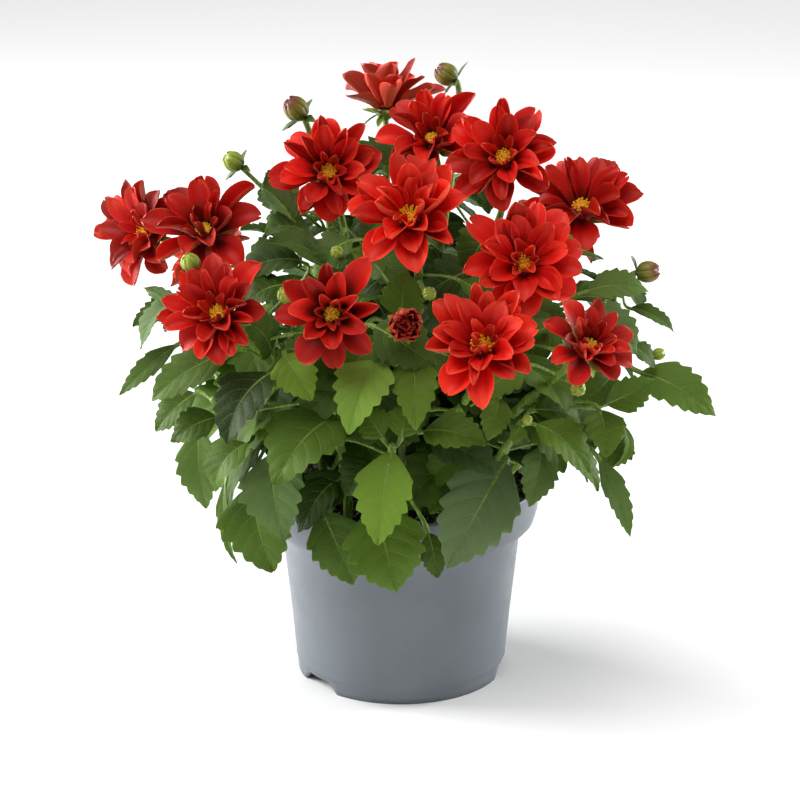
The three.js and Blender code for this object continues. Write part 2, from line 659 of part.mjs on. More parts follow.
// The disc: a low dome with florets raised on it, every second corner of each ring further out.
function discGeometry(bloom) {
  const frame = bloomFrame(bloom);
  const base = CORE_HEIGHT + BLOOM_GAP;
  const points = [];
  DISC_RINGS.forEach(([part, rise], ring) => {
    for (let k = 0; k < DISC_SIDES; k += 1) {
      const inside = ring > 0 && (k + ring) % 2 === 0;
      const radius = DISC_RADIUS * part * (inside ? DISC_DIP : 1);
      const height = DISC_HEIGHT * rise * (inside ? 1 : 0.8);
      points.push(frame.at(radius, (2 * Math.PI * k) / DISC_SIDES, base + height));
    }
  });
  const low = points.push(frame.at(0, 0, base)) - 1;
  const high = points.push(frame.at(0, 0, base + DISC_HEIGHT)) - 1;
  const triangles = [];
  const last = (DISC_RINGS.length - 1) * DISC_SIDES;
  for (let k = 0; k < DISC_SIDES; k += 1) {
    const next = (k + 1) % DISC_SIDES;
    triangles.push([low, next, k], [high, last + k, last + next]);
    for (let ring = 0; ring < DISC_RINGS.length - 1; ring += 1) {
      const a = ring * DISC_SIDES + k;
      const b = ring * DISC_SIDES + next;
      triangles.push([a, b, b + DISC_SIDES], [a, b + DISC_SIDES, a + DISC_SIDES]);
    }
  }
  return closedGeometry(points, triangles);
}

// Stems, leaves and buds

const bezier = (a, b, c, d) => new THREE.CubicBezierCurve3(a, b, c, d);

// The middle line of a stem: straight up out of the soil, then over to what it carries.
function stemCurve(stem) {
  const foot = new THREE.Vector3(...stem.root, SOIL_TOP);
  let end;
  let out;
  if (stem.bloom) {
    const frame = bloomFrame(bloomOf(stem));
    end = frame.at(0, 0, STEM_END);
    out = frame.out;
  } else if (stem.bud) {
    const [middle, azimuth, lift, radius] = stem.bud;
    out = facing(azimuth, lift);
    end = vec(middle).addScaledVector(out, -radius);
  } else {
    end = vec(stem.tip);
    out = end.clone().sub(foot).normalize();
  }
  const pull = stem.bud ? BUD_NECK : foot.distanceTo(end) * STEM_PULL;
  const above = foot.clone().addScaledVector(UP, stem.rise);
  return bezier(foot, above, end.clone().addScaledVector(out, -pull), end);
}

const bloomOf = (stem) => (stem.bloom === 'half_open' ? HALF_OPEN : BLOOMS[stem.bloom]);

function stemSolid(stem, curve) {
  const path = curve.getPoints(STEM_STEPS);
  const radii = path.map((p, i) => (
    STEM_FOOT_RADIUS + ((STEM_TOP_RADIUS - STEM_FOOT_RADIUS) * i) / STEM_STEPS));
  path.unshift(path[0].clone().addScaledVector(UP, -STEM_FOOT_DEPTH));
  radii.unshift(STEM_FOOT_RADIUS);
  return tubeSolid(path, radii, STEM_SIDES);
}

// A ring of narrow green bracts under a bloom or bud, closed into one small head.
function bractRing(frame, { count, radius, height, length, width, tilt }, low, high) {
  const blades = Array.from({ length: count }, (unused, i) => {
    const angle = (2 * Math.PI * (i + 0.5)) / count - Math.PI;
    const { along, up } = frame.slanted(angle, tilt);
    const section = (u) => ({
      middle: frame.at(radius, angle, height)
        .addScaledVector(along, length * u)
        .addScaledVector(up, -BRACT_DROOP * length * u * u),
      across: along.clone().cross(up),
      up,
      half: (width / 2) * (u > 0 ? 1 : BRACT_FOOT),
      lift: BRACT_LIFT,
    });
    return { angle, section, shape: BRACT_SHAPE };
  });
  return toSolid(headGeometry(frame, [blades], low, high));
}

// A bud: a round head, a little flattened, above a ring of bracts if it isn't a small one.
function budSolids(middle, out, radius) {
  const frame = frameAt(middle, out);
  const path = BUD_RINGS.map(([along]) => frame.at(0, 0, along * radius));
  const head = tubeSolid(path, BUD_RINGS.map(([, wide]) => wide * radius), BUD_SIDES);
  if (radius <= SMALL_BUD) return [head];
  const bracts = {
    ...BUD_BRACTS,
    radius: BUD_BRACTS.radius * radius,
    height: BUD_BRACTS.height * radius,
    length: BUD_BRACTS.length * radius,
    width: BUD_BRACTS.width * radius,
  };
  return [head, bractRing(frame, bracts, BUD_BRACTS_LOW * radius, BUD_BRACTS_HIGH * radius)];
}

function twigSolid(from, end, out) {
  const pull = Math.min(from.distanceTo(end) / 3, BUD_NECK);
  const start = end.clone().sub(from).normalize().add(UP).normalize();
  const first = from.clone().addScaledVector(start, pull);
  const path = bezier(from, first, end.clone().addScaledVector(out, -pull), end).getPoints(TWIG_STEPS);
  return tubeSolid(path, path.map(() => TWIG_RADIUS), TWIG_SIDES);
}

const onLeaf = (v) => PETIOLE_PART + (1 - PETIOLE_PART) * v;
const LEAF_SHAPE = {
  middle: [0, PETIOLE_PART, ...LEAF_MIDDLE.map(onLeaf)],
  edge: [0, PETIOLE_PART, ...LEAF_EDGE.map(([v]) => onLeaf(v))],
  thickness: LEAF_THICKNESS,
};
const LEAF_WIDTH = widthTable([[0, 0], ...LEAF_EDGE, [1, 0]]);

// A leaf: a stalk from the stem to the base of the blade, then the blade in an arch to its tip.
// The edge runs out and in between the listed teeth, and both halves fold up from the midrib.
function leafSolid(curve, [place, base, tip, width, bow, turn]) {
  const from = curve.getPoint(place);
  const foot = vec(base);
  const end = vec(tip);
  const ahead = end.clone().sub(foot);
  const outward = new THREE.Vector3(base[0] + tip[0], base[1] + tip[1], 0).normalize();
  const face = outward.multiplyScalar(LEAF_OUTWARD).addScaledVector(UP, LEAF_UPWARD);
  const across = ahead.clone().cross(face).normalize();
  across.applyAxisAngle(ahead.clone().normalize(), rad(turn));
  const lifted = across.clone().cross(ahead).normalize();
  const knee = foot.clone().add(end).multiplyScalar(0.5).addScaledVector(lifted, 2 * bow);
  const blade = new THREE.QuadraticBezierCurve3(foot, knee, end);
  const reach = from.distanceTo(foot) / 3;
  const stalk = bezier(
    from,
    from.clone().addScaledVector(foot.clone().sub(from).normalize(), reach),
    foot.clone().addScaledVector(knee.clone().sub(foot).normalize(), -reach),
    foot);
  const section = (u) => {
    const onBlade = u > PETIOLE_PART;
    const v = onBlade ? (u - PETIOLE_PART) / (1 - PETIOLE_PART) : u / PETIOLE_PART;
    const line = onBlade ? blade : stalk;
    const along = line.getTangent(v);
    const half = onBlade ? (width / 2) * LEAF_WIDTH(v) : PETIOLE_HALF_WIDTH;
    return {
      middle: line.getPoint(v),
      across,
      up: across.clone().cross(along).normalize(),
      half: Math.max(half, PETIOLE_HALF_WIDTH),
      lift: onBlade ? half * LEAF_FOLD : 0,
    };
  };
  return bladeSolid(section, LEAF_SHAPE);
}

// The leaf row of a leaf that is given by its azimuth, length, width and droop below level.
function pairLeaf(curve, [place, azimuth, length, width, droop]) {
  const away = facing(azimuth, 0);
  const base = curve.getPoint(place).addScaledVector(away, PAIR_AWAY).addScaledVector(UP, PAIR_ABOVE);
  const tip = base.clone()
    .addScaledVector(away, length * Math.cos(rad(droop)))
    .addScaledVector(UP, -length * Math.sin(rad(droop)));
  return [place, base.toArray(), tip.toArray(), width, length * PAIR_BOW, 0];
}

function stemGeometry(stem) {
  const curve = stemCurve(stem);
  const solids = [stemSolid(stem, curve)];
  if (stem.bloom) {
    solids.push(bractRing(bloomFrame(bloomOf(stem)), CALYX, CALYX_BOTTOM, -BLOOM_GAP));
  }
  if (stem.bud) {
    const [middle, azimuth, lift, radius] = stem.bud;
    solids.push(...budSolids(vec(middle), facing(azimuth, lift), radius));
  }
  for (const leaf of stem.leaves) solids.push(leafSolid(curve, leaf));
  for (const pair of stem.pairs ?? []) solids.push(leafSolid(curve, pairLeaf(curve, pair)));
  for (const [place, middle, azimuth, lift, radius] of stem.buds) {
    const out = facing(azimuth, lift);
    const end = vec(middle).addScaledVector(out, -radius * BUD_SEAT);
    solids.push(twigSolid(curve.getPoint(place), end, out), ...budSolids(vec(middle), out, radius));
  }
  return toGeometry(joinAll(solids));
}

// The whole plant

const plant = new THREE.Group();

function addMesh(name, geometry, color, roughness) {
  const material = new THREE.MeshStandardMaterial({ color, roughness, metalness: 0 });
  const mesh = new THREE.Mesh(geometry, material);
  mesh.name = name;
  plant.add(mesh);
}

addMesh('pot', potGeometry(), GREY, 0.45);
addMesh('soil', soilGeometry(), SOIL_BROWN, 1);
Object.entries(BLOOMS).sort().forEach(([number, bloom], index) => {
  addMesh(`bloom_${number}_petals`, petalsGeometry(bloom, PETAL_ROWS, BLOOM_SEED + index), RED, 0.6);
  addMesh(`bloom_${number}_disc`, discGeometry(bloom), YELLOW, 0.8);
});
addMesh('half_open_petals', petalsGeometry(HALF_OPEN, ROLLED_ROWS, HALF_OPEN_SEED), DARK_RED, 0.6);
STEMS.forEach((stem, index) => {
  addMesh(`stem_${String(index + 1).padStart(2, '0')}`, stemGeometry(stem), GREEN, 0.6);
});

export default plant;
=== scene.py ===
"""A potted dwarf dahlia: a moulded nursery pot with soil, leafy stems, buds and red semi-double blooms.

It is laid out as an add-on: settings, one operator for each kind of piece, one for the stage, and a
panel that lists them. Sizes in the tables and settings are millimetres unless a unit is given.
"""

import math
from collections import namedtuple

import bpy
import numpy as np
from bpy.props import FloatProperty, FloatVectorProperty, IntProperty, PointerProperty
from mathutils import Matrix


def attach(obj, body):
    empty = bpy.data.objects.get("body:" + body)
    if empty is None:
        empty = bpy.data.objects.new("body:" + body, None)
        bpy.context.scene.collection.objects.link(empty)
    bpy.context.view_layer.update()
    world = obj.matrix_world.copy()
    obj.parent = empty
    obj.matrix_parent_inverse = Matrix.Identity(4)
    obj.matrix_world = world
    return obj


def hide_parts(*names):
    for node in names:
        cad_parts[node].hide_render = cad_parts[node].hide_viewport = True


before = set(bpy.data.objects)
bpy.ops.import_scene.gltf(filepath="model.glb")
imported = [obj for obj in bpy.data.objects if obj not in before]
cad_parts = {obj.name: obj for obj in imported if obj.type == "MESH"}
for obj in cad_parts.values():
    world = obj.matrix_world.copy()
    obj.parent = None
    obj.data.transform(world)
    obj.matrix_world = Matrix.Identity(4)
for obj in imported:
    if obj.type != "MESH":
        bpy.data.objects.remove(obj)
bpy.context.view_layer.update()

bl_info = {
    "name": "Potted dwarf dahlia",
    "version": (1, 0, 0),
    "blender": (4, 5, 0),
    "location": "3D View > Sidebar > Dahlia",
    "description": "Makes the pot, soil, leafy stems, buds and blooms of a potted dwarf dahlia",
    "category": "Add Mesh",
}

# Seeds of the random draws, to which the number of the bloom or stem is added. The outer petals have
# the seed of the CAD solids.
OUTER_SEED, INNER_SEED, FORM_SEED, INNER_FORM_SEED, FLORET_SEED = 100, 200, 300, 400, 500
TONE_SEED, RULE_SEED, LEAF_SEED = 700, 900, 1000

MM = 0.001
UP = np.array([0.0, 0.0, 1.0])
GOLDEN_ANGLE = 2.39996

# Heights, radii and other values that the CAD solids were made with. The stagger is the angle by
# which every other petal of an even row stands up and the rest lie down. The neck is the pull of the
# curve below a bud, and up to the radius of a small bud it has no outer bracts. The pull of a stem
# is a part of the distance from its foot to its end, and its end is a height on the bloom's face.
SOIL_TOP = 88.0
STEM_FOOT_DEPTH = 13.0
STEM_FOOT_RADIUS = 2.2
STEM_TIP_RADIUS = 1.35
CORE_HEIGHT = 3.0
DISC_RADIUS = 3.1
DISC_HEIGHT = 3.4
STAGGER = 4.0
BUD_NECK = 9.0
SMALL_BUD = 4.0
STEM_PULL = 0.28
STEM_END = -2.6

# Outside and inside of the pot's wall, then the base plate, as radius and height.
POT_OUTSIDE = [
    (49.2, 0.0), (49.5, 3.4), (49.9, 7.2), (50.2, 7.6), (50.1, 8.1), (52.1, 30.0), (54.2, 50.0),
    (56.0, 66.6), (56.6, 69.4), (58.0, 71.6), (61.4, 74.4), (62.8, 76.0), (63.5, 78.2), (64.5, 82.0),
    (65.1, 88.0), (65.5, 93.6), (65.6, 94.7),
]
POT_INSIDE = [
    (65.2, 95.0), (64.4, 95.0), (63.9, 94.6), (62.9, 82.0), (62.4, 79.0), (61.2, 76.8), (57.6, 73.8),
    (54.9, 70.6), (54.2, 66.0), (48.8, 14.0), (48.3, 10.4), (47.4, 9.8),
]
POT_PLATE_TOP = [(30.0, 9.8), (20.4, 9.8), (19.2, 9.2), (16.8, 2.6), (15.8, 2.0), (5.0, 2.0)]
POT_PLATE_UNDER = [(5.0, 0.0), (17.2, 0.0), (18.0, 0.8), (20.3, 7.2), (21.2, 7.8), (47.2, 7.8)]
POT_FOOT = [(47.7, 7.4), (47.5, 3.0), (47.5, 0.0)]
NOTCH_AZIMUTHS = (-52.0, 79.0, 194.0)
# The radius at which the notches' width is measured, the radius outside which the wall begins, the
# height of the raised line above the foot, and the heights between which the drain holes are cut.
NOTCH_RADIUS = 49.0
WALL_RADIUS = 47.45
FOOT_HEIGHT = 7.4
DRAIN_FROM, DRAIN_TO = 6.5, 11.0
# The soil's side as radius and height, the radius of its top, and how far out its crumbs lie.
SOIL_SIDE = [
    (15.2, 2.4), (16.2, 3.0), (18.8, 10.2), (47.4, 10.2), (53.6, 69.8), (60.0, 77.2), (62.2, 83.0),
]
SOIL_RADIUS = 62.6
CRUMB_REACH = 61.0

# Blooms: middle of the disc, azimuth the bloom faces (0 is the front, 90 is +X), its lift above
# level, how far its outer petals reach, how many degrees its petals stand up more than on a wide
# open bloom, how far its florets have opened (which is also how old its petals look), which of the
# inner rows of petals it has, how many degrees the tips of its petals bend outward, and how much
# brighter its red is painted than the common one, in quarters of it: painted light and shade for
# how brightly that bloom is lit.
Bloom = namedtuple("Bloom", "middle azimuth lift reach cup opened inner bend lighter")
BLOOMS = {
    "01": Bloom((-118, 6, 211), -50, 22, 28, 10, 1.0, (0, 1), 4, -0.9),
    "02": Bloom((-86, -50, 227), -18, 50, 28, 7, 0.25, (0,), 0, -1.1),
    "03": Bloom((-77, -98, 203), -20, 36, 24, 6, 0.5, (0, 1), 0, -0.2),
    "04": Bloom((-29, -104, 204), -8, 20, 25, 7, 0.0, (0,), 0, -0.4),
    "05": Bloom((-32, -25, 247), -6, 30, 26, 1, 0.5, (0, 1), 0, 0.2),
    "06": Bloom((4, -62, 236), -14, 46, 29, 4, 1.0, (1, 2), -14, 0.6),
    "07": Bloom((-7, 52, 264), 178, 82, 28, 16, 0.6, (0, 3), 4, -0.2),
    "08": Bloom((14, 8, 255), -16, 50, 27, 4, 0.2, (0,), 0, -0.2),
    "09": Bloom((45, -26, 254), -14, 34, 26, 3, 0.4, (0, 1), 0, 0.1),
    "10": Bloom((82, 2, 225), -2, 56, 29, 5, 0.6, (1,), 6, -0.2),
    "11": Bloom((53, -66, 216), 2, 32, 28, 3, 0.7, (0, 1), 0, 0.6),
    "12": Bloom((34, -112, 193), -8, 42, 27, 4, 1.0, (0, 1), -8, 0.5),
    "13": Bloom((80, -92, 187), 26, 42, 21, 8, 0.15, (0, 2), 0, -0.5),
    "14": Bloom((-92, 60, 184), -125, 44, 24, 4, 0.5, (0, 1), 0, 0),
    "15": Bloom((74, 62, 199), 140, 46, 24, 6, 0.6, (0, 1), 0, 0),
}
HALF_OPEN = Bloom((2, -100, 198), 8, 18, 9, 0, 0.0, (), 0, -0.3)

# Rows of petals: how many, radius and height at which the root sits, length and width as parts of
# the bloom's reach, how far the edges cup, the angles above the bloom's plane at root and tip, how
# much of the bloom's cup the row follows, and how much of the sag it has. The first two rows are
# those of the CAD solids. The last inner row stands up, for a bloom that is seen from its side.
PetalRow = namedtuple("PetalRow", "petals radius height length width cup start end stands sags")
PETAL_ROWS = (
    PetalRow(8, 6.0, 1.0, 0.8, 0.5, 0.6, 22, 2, 0.8, 1.0),
    PetalRow(7, 5.2, 2.4, 0.68, 0.38, 0.75, 56, 26, 0.5, 0.3),
)
INNER_ROWS = (
    PetalRow(6, 3.7, 2.6, 0.42, 0.2, 1.0, 74, 52, 0.4, 0),
    PetalRow(8, 5.6, 1.8, 0.76, 0.36, 0.75, 38, 12, 0.7, 0.7),
    PetalRow(7, 4.3, 2.6, 0.56, 0.27, 0.9, 66, 40, 0.5, 0),
    PetalRow(5, 4.4, 2.4, 0.78, 0.5, 0.7, 66, 60, 0.2, 0),
)
# The half-open bloom: its outer row, which the CAD solid has too, and three inner ones.
ROLLED_ROWS = (
    PetalRow(9, 4.6, 1.4, 0.95, 0.5, 0.9, 50, 104, 0, 0),
)
ROLLED_INNER = (
    PetalRow(13, 5.2, 0.6, 0.6, 0.34, 1.0, 42, 96, 0, 0),
    PetalRow(9, 4.2, 0.8, 0.66, 0.36, 1.1, 64, 122, 0, 0),
    PetalRow(7, 2.8, 0.8, 0.5, 0.32, 1.1, 76, 124, 0, 0),
)
# The part of all petals that stay half rolled.
ROLLED_PART = 0.18

# Stems: where each stands in the soil, what it carries at its end (a bloom, a bud or a young tip),
# and how far it rises before it bends. A leaf row holds: place along the stem, base of the blade,
# tip of the blade, width, how far the middle bows up, how far the blade is turned about its length,
# how light it is (from -1.3, nearly black, to 1, bright), which is partly the leaf's own colour and
# partly painted light and shade, darkest for leaves deep in the foliage, and, for an old grey one,
# its age up to 1. A bud row holds: place along the stem, middle, azimuth and lift it faces, and
# radius. A pairs row holds: place along the stem, azimuth, length, width, and droop below level.
STEMS = [
    dict(root=[-36, -2], bloom="01", rise=55, leaves=[
        [0.62, [-100, -26, 184], [-120, -34, 178], 16, 3, -30, -0.5],
        [0.5, [-88, 14, 172], [-112, 26, 158], 26, 5, 0, -0.5],
    ], pairs=[
        [0.28, -130, 42, 30, 40],
    ]),
    dict(root=[-29, -14], bloom="02", rise=60, leaves=[
        [0.6, [-99, -48, 188], [-112, -56, 202], 20, 2, 0, -0.3, 0.6],
        [0.55, [-100, -42, 172], [-126, -44, 149], 10, 4, -50, -0.1],
    ], buds=[[0.64, [-89, -85, 221], -40, 60, 4]]),
    dict(root=[-24, -28], bloom="03", rise=50, leaves=[
        [0.6, [-74, -78, 180], [-108, -80, 158], 20, 5, -25, -0.1, 0.15],
        [0.55, [-56, -72, 178], [-68, -82, 196], 22, 3, 0, -0.35],
    ]),
    dict(root=[-10, -34], bloom="04", rise=50, leaves=[
        [0.6, [-50, -84, 180], [-38, -98, 164], 20, 4, 0, 0.72],
        [0.5, [-10, -86, 178], [-22, -113, 154], 25, 7, 0, 0.9],
    ], buds=[[0.7, [-49, -82, 206], -30, 40, 3.6]]),
    dict(root=[-14, -8], bloom="05", rise=70, leaves=[
        [0.6, [-48, -18, 222], [-62, -24, 240], 20, 3, 0, 0.2],
        [0.6, [-34, -36, 208], [-58, -46, 220], 24, 4, 0, -0.5],
    ], buds=[[0.7, [-28, -52, 217], 0, 40, 2.8]]),
    dict(root=[2, -20], bloom="06", rise=60, leaves=[
        [0.6, [-8, -56, 208], [-22, -60, 220], 17, 3, 0, 0.1],
        [0.55, [0, -66, 192], [2, -68, 213], 20, 2, 0, 0.15],
    ], buds=[[0.7, [12, -76, 205], 10, 30, 3]]),
    dict(root=[-4, 12], bloom="07", rise=80, leaves=[
        [0.5, [-24, 34, 206], [-46, 46, 202], 26, 6, 0, -0.6],
        [0.62, [16, 30, 220], [36, 42, 218], 22, 5, 0, -0.6],
    ], pairs=[
        [0.35, -150, 42, 28, 25], [0.7, 150, 30, 22, 15],
    ]),
    dict(root=[6, 1], bloom="08", rise=80, leaves=[
        [0.6, [-4, -14, 222], [-16, -30, 216], 20, 4, 0, -0.5],
    ], pairs=[
        [0.45, 185, 34, 24, 25],
    ]),
    dict(root=[18, -4], bloom="09", rise=80, leaves=[
        [0.68, [38, -34, 222], [28, -42, 206], 22, 4, 0, -0.6],
    ]),
    dict(root=[30, -6], bloom="10", rise=60, leaves=[
        [0.62, [84, -18, 190], [112, -18, 190], 17, 5, 30, 0.3, 0.3],
        [0.5, [78, 10, 178], [104, 22, 166], 26, 6, 0, -0.4],
    ], pairs=[
        [0.3, 140, 42, 30, 40], [0.45, 100, 42, 30, 35], [0.72, 150, 32, 22, 20],
    ]),
    dict(root=[18, -20], bloom="11", rise=60, leaves=[
        [0.62, [80, -52, 190], [104, -56, 172], 22, 5, 30, -0.1, 0.5],
        [0.5, [28, -64, 186], [24, -84, 176], 20, 4, 0, -0.4],
    ]),
    dict(root=[12, -36], bloom="12", rise=45, leaves=[
        [0.5, [42, -88, 162], [37, -98, 146], 14, 3, 0, 0.2],
        [0.4, [10, -88, 147], [36, -104, 146], 22, 4, 0, 0.15],
        [0.3, [13, -62, 134], [42, -76, 123], 24, 4, 0, -0.6],
    ]),
    dict(root=[30, -26], bloom="13", rise=40, leaves=[
        [0.6, [90, -66, 152], [112, -62, 162], 16, 2, 40, 0],
        [0.55, [86, -80, 154], [88, -94, 137], 18, 4, 20, 0.15],
    ], buds=[[0.75, [76, -84, 165], 0, 0, 3.4]]),
    dict(root=[1, -42], bloom="half_open", rise=50, leaves=[
        [0.45, [5, -84, 178], [6, -108, 154], 20, 6, 0, 0.5],
    ]),
    dict(root=[-20, 26], bloom="14", rise=60, leaves=[
        [0.5, [-66, 74, 152], [-84, 96, 136], 28, 6, 0, -0.1],
        [0.55, [-42, 74, 176], [-44, 100, 158], 28, 6, 0, -0.1],
    ], pairs=[
        [0.25, -170, 46, 32, 50], [0.4, -110, 42, 30, 30],
    ]),
    dict(root=[24, 24], bloom="15", rise=60, leaves=[
        [0.6, [92, 44, 178], [116, 52, 160], 28, 6, 0, -0.1],
        [0.5, [50, 74, 172], [56, 102, 152], 28, 6, 0, -0.2],
    ], pairs=[
        [0.25, 165, 46, 32, 50], [0.35, 110, 42, 30, 35], [0.75, 90, 32, 22, 15],
    ]),
    dict(root=[2, 34], bud=[[4, 82, 216], 178, 50, 5], rise=70, leaves=[], pairs=[
        [0.3, 180, 46, 32, 45], [0.42, -130, 44, 30, 35], [0.5, 135, 44, 30, 35],
        [0.65, 175, 40, 28, 30], [0.8, -110, 34, 24, 20], [0.85, 110, 34, 24, 20],
    ]),
    dict(root=[-22, 8], bud=[[-48, 20, 266], -60, 50, 5.6], rise=90, leaves=[
        [0.5, [-48, 2, 226], [-60, -4, 243], 18, 3, 0, -0.1],
        [0.5, [-46, 26, 204], [-68, 26, 200], 24, 5, 0, -0.4],
    ], buds=[[0.42, [-76, 4, 245], -60, 40, 4.6]]),
    dict(root=[10, 18], bud=[[21, 30, 280], -90, 35, 5.2], rise=90, leaves=[
        [0.55, [40, 34, 206], [62, 40, 194], 26, 6, 0, -0.5],
    ], pairs=[
        [0.4, 150, 42, 28, 25],
    ]),
    dict(root=[42, -8], bud=[[112, -10, 197], 70, 10, 5], rise=40, leaves=[
        [0.7, [108, -32, 156], [141, -46, 140], 22, 6, 45, 0.4],
        [0.85, [104, -14, 181], [124, -18, 171], 12, 3, 20, -0.3],
        [0.8, [102, -40, 171], [114, -38, 160], 12, 2, 20, -0.4],
    ], buds=[[0.75, [116, -30, 164], 60, 20, 2.8]], pairs=[
        [0.35, 70, 44, 30, 50], [0.5, 100, 38, 26, 40],
    ]),
    dict(root=[-4, -53], tip=[-4, -92, 142], rise=30, leaves=[
        [0.98, [-4, -94, 140], [-10, -107, 102], 25, 6, 0, 0.72],
        [0.6, [-12, -76, 107], [-2, -88, 72], 36, 4, 0, 0.35],
        [0.9, [-8, -88, 144], [-18, -84, 156], 16, 2, 0, 0.3],
        [0.9, [0, -88, 144], [4, -82, 158], 16, 2, 0, 0.3],
        [0.5, [12, -72, 94], [16, -76, 74], 14, 2, 0, -0.5],
        [0.5, [-12, -68, 126], [-24, -76, 113], 22, 3, 0, -0.7],
    ]),
    dict(root=[38, -38], tip=[52, -84, 150], rise=30, leaves=[
        [0.95, [58, -88, 150], [80, -100, 132], 23, 5, 0, 0.25],
        [0.4, [46, -68, 126], [20, -84, 82], 34, 6, 0, -0.1, 0.8],
        [0.6, [62, -66, 132], [56, -82, 110], 18, 3, 0, 0.2, 0.4],
        [0.93, [51, -90, 150], [48, -97, 144], 8, 2, 0, 0.4],
    ], buds=[[0.98, [54, -94, 154], 0, 40, 2.2]]),
    dict(root=[-24, -42], tip=[-40, -80, 168], rise=50, leaves=[
        [0.7, [-28, -84, 152], [-54, -110, 130], 36, 7, 0, -0.05],
        [0.9, [-56, -84, 172], [-74, -102, 146], 28, 7, 0, -1.3],
        [0.4, [-28, -62, 116], [-44, -74, 96], 20, 4, 0, -0.9],
        [0.5, [-56, -74, 132], [-51, -90, 98], 30, 6, 0, 0.1, 0.5],
        [0.8, [-80, -78, 150], [-100, -82, 140], 17, 3, -20, -0.4],
        [0.32, [-35, -66, 102], [-21, -76, 71], 25, 3, 0, 0],
    ]),
    dict(root=[-42, -22], tip=[-84, -52, 150], rise=40, leaves=[
        [0.9, [-90, -52, 136], [-87, -60, 101], 20, 6, -30, 0.55, 0.3],
        [0.7, [-68, -66, 134], [-82, -74, 114], 23, 5, 0, 0.0],
        [0.5, [-66, -58, 112], [-57, -68, 74], 36, 5, 0, -0.1],
        [0.6, [-80, -38, 106], [-75, -44, 68], 9, 4, 0, -0.2],
        [0.97, [-92, -44, 150], [-110, -44, 132], 18, 3, -30, -0.25],
    ], pairs=[
        [0.35, -75, 40, 28, 60],
    ]),
    dict(root=[45, -24], tip=[86, -60, 142], rise=30, leaves=[
        [0.8, [87, -70, 128], [101, -80, 95], 11, 5, 35, 0.5, 0.4],
        [0.9, [98, -52, 139], [93, -58, 119], 6, 9, 0, 0.2],
    ], pairs=[
        [0.5, 60, 31, 20, 45],
    ]),
]


# Leaves that only the finished plant has, by the number of their stem, in rows like the leaf rows
# above. They fill gaps behind the blooms at the left, above the pot's rim and low at the right; most
# have low tones, which paint the shade of the foliage behind the blooms.
MORE_LEAVES = {
    2: [
        [0.6, [-44, -40, 210], [-72, -46, 205], 30, 4, 0, -0.75],
        [0.8, [-97, -44, 195], [-115, -52, 173], 19, 4, 0, -0.1, 0.6],
    ],
    3: [[0.6, [-50, -58, 204], [-68, -62, 196], 24, 3, 0, -0.7]],
    5: [
        [0.6, [-40, -20, 216], [-62, -24, 219], 26, 4, 0, -0.8],
        [0.5, [-22, -38, 219], [-34, -42, 206], 22, 4, 0, -0.3],
        [0.55, [-50, -14, 210], [-72, -20, 219], 24, 3, 0, -0.7],
    ],
    13: [[0.6, [94, -54, 162], [80, -64, 150], 17, 3, 0, -0.3]],
    18: [
        [0.55, [-53, 12, 221], [-62, 14, 238], 24, 3, 0, 0.1, 0.5],
        [0.45, [-44, 4, 222], [-62, -2, 210], 28, 4, 0, -0.7],
        [0.4, [-34, 4, 214], [-46, 2, 196], 26, 4, 0, -0.8],
        [0.35, [-50, 6, 196], [-74, 0, 190], 30, 5, 0, -0.7],
    ],
    23: [
        [0.25, [-24, -62, 118], [-46, -69, 93], 26, 4, 0, -0.8],
        [0.2, [-34, -56, 112], [-52, -62, 98], 24, 4, 0, -0.8],
    ],
    25: [[0.85, [100, -50, 133], [89, -59, 120], 17, 3, 0, -0.2]],
}


def unit(v):
    """Vectors at length one."""
    return v / np.linalg.norm(v, axis=-1, keepdims=True)


def facing(azimuth, lift):
    """The way something faces, from its azimuth and its lift above level in degrees."""
    a, b = math.radians(azimuth), math.radians(lift)
    return np.array([math.sin(a) * math.cos(b), -math.cos(a) * math.cos(b), math.sin(b)])


def turned(v, axis, angle):
    """Vectors turned about an axis: the part along the axis stays and the rest turns by the angle."""
    cosine, sine = np.cos(angle)[..., None], np.sin(angle)[..., None]
    along = (v * axis).sum(-1, keepdims=True) * axis
    return along + (v - along) * cosine + np.cross(axis, v) * sine


def turns(count):
    """Angles evenly spaced round a full turn."""
    return np.linspace(0, 2 * np.pi, count, endpoint=False)


def bezier(controls, t):
    """Points on a Bezier curve: each control point times its Bernstein weight, added up."""
    last = len(controls) - 1
    t = np.asarray(t, float)[..., None]
    return sum(math.comb(last, k) * t**k * (1 - t) ** (last - k) * p for k, p in enumerate(controls))


def bezier_way(controls, t):
    """The direction of travel on a Bezier curve, at length one."""
    return unit(bezier(np.diff(np.asarray(controls), axis=0), t))


def draws(seed):
    """A repeatable row of draws between -1 and 1: each state is a multiple of the last, plus a step."""
    state = seed

    def draw():
        nonlocal state
        state = (state * 1664525 + 1013904223) % 4294967296
        return state / 4294967296 * 2 - 1

    return draw


def ripple(points, spacing, seed):
    """Smooth noise of about -1 to 1: six sine waves of one spacing in seeded directions, added up."""
    rng = np.random.default_rng(seed)
    way = unit(rng.normal(size=(6, 3)))
    return np.sin(points @ way.T * (2 * np.pi / spacing) + rng.uniform(0, 6.3, 6)).sum(-1) / 3


class Face:
    """A place and three directions: out of a bloom or bud, and two across it."""

    def __init__(self, origin, out):
        self.origin, self.out = np.asarray(origin, float), out
        self.side = unit(np.cross(UP, out))
        self.rise = np.cross(out, self.side)

    def at(self, radius, angle, height):
        """Points at a radius and an angle round the axis, and a height along it."""
        radius, angle, height = (np.asarray(x, float)[..., None] for x in (radius, angle, height))
        across = np.cos(angle) * self.side + np.sin(angle) * self.rise
        return self.origin + radius * across + height * self.out

    def slanted(self, angle, tilt):
        """The ways along and up from a blade at an angle round the axis, tilted above the face."""
        away = np.cos(angle) * self.side + np.sin(angle) * self.rise
        tilt = np.asarray(tilt, float)[..., None]
        along = away * np.cos(tilt) + self.out * np.sin(tilt)
        return along, self.out * np.cos(tilt) - away * np.sin(tilt)


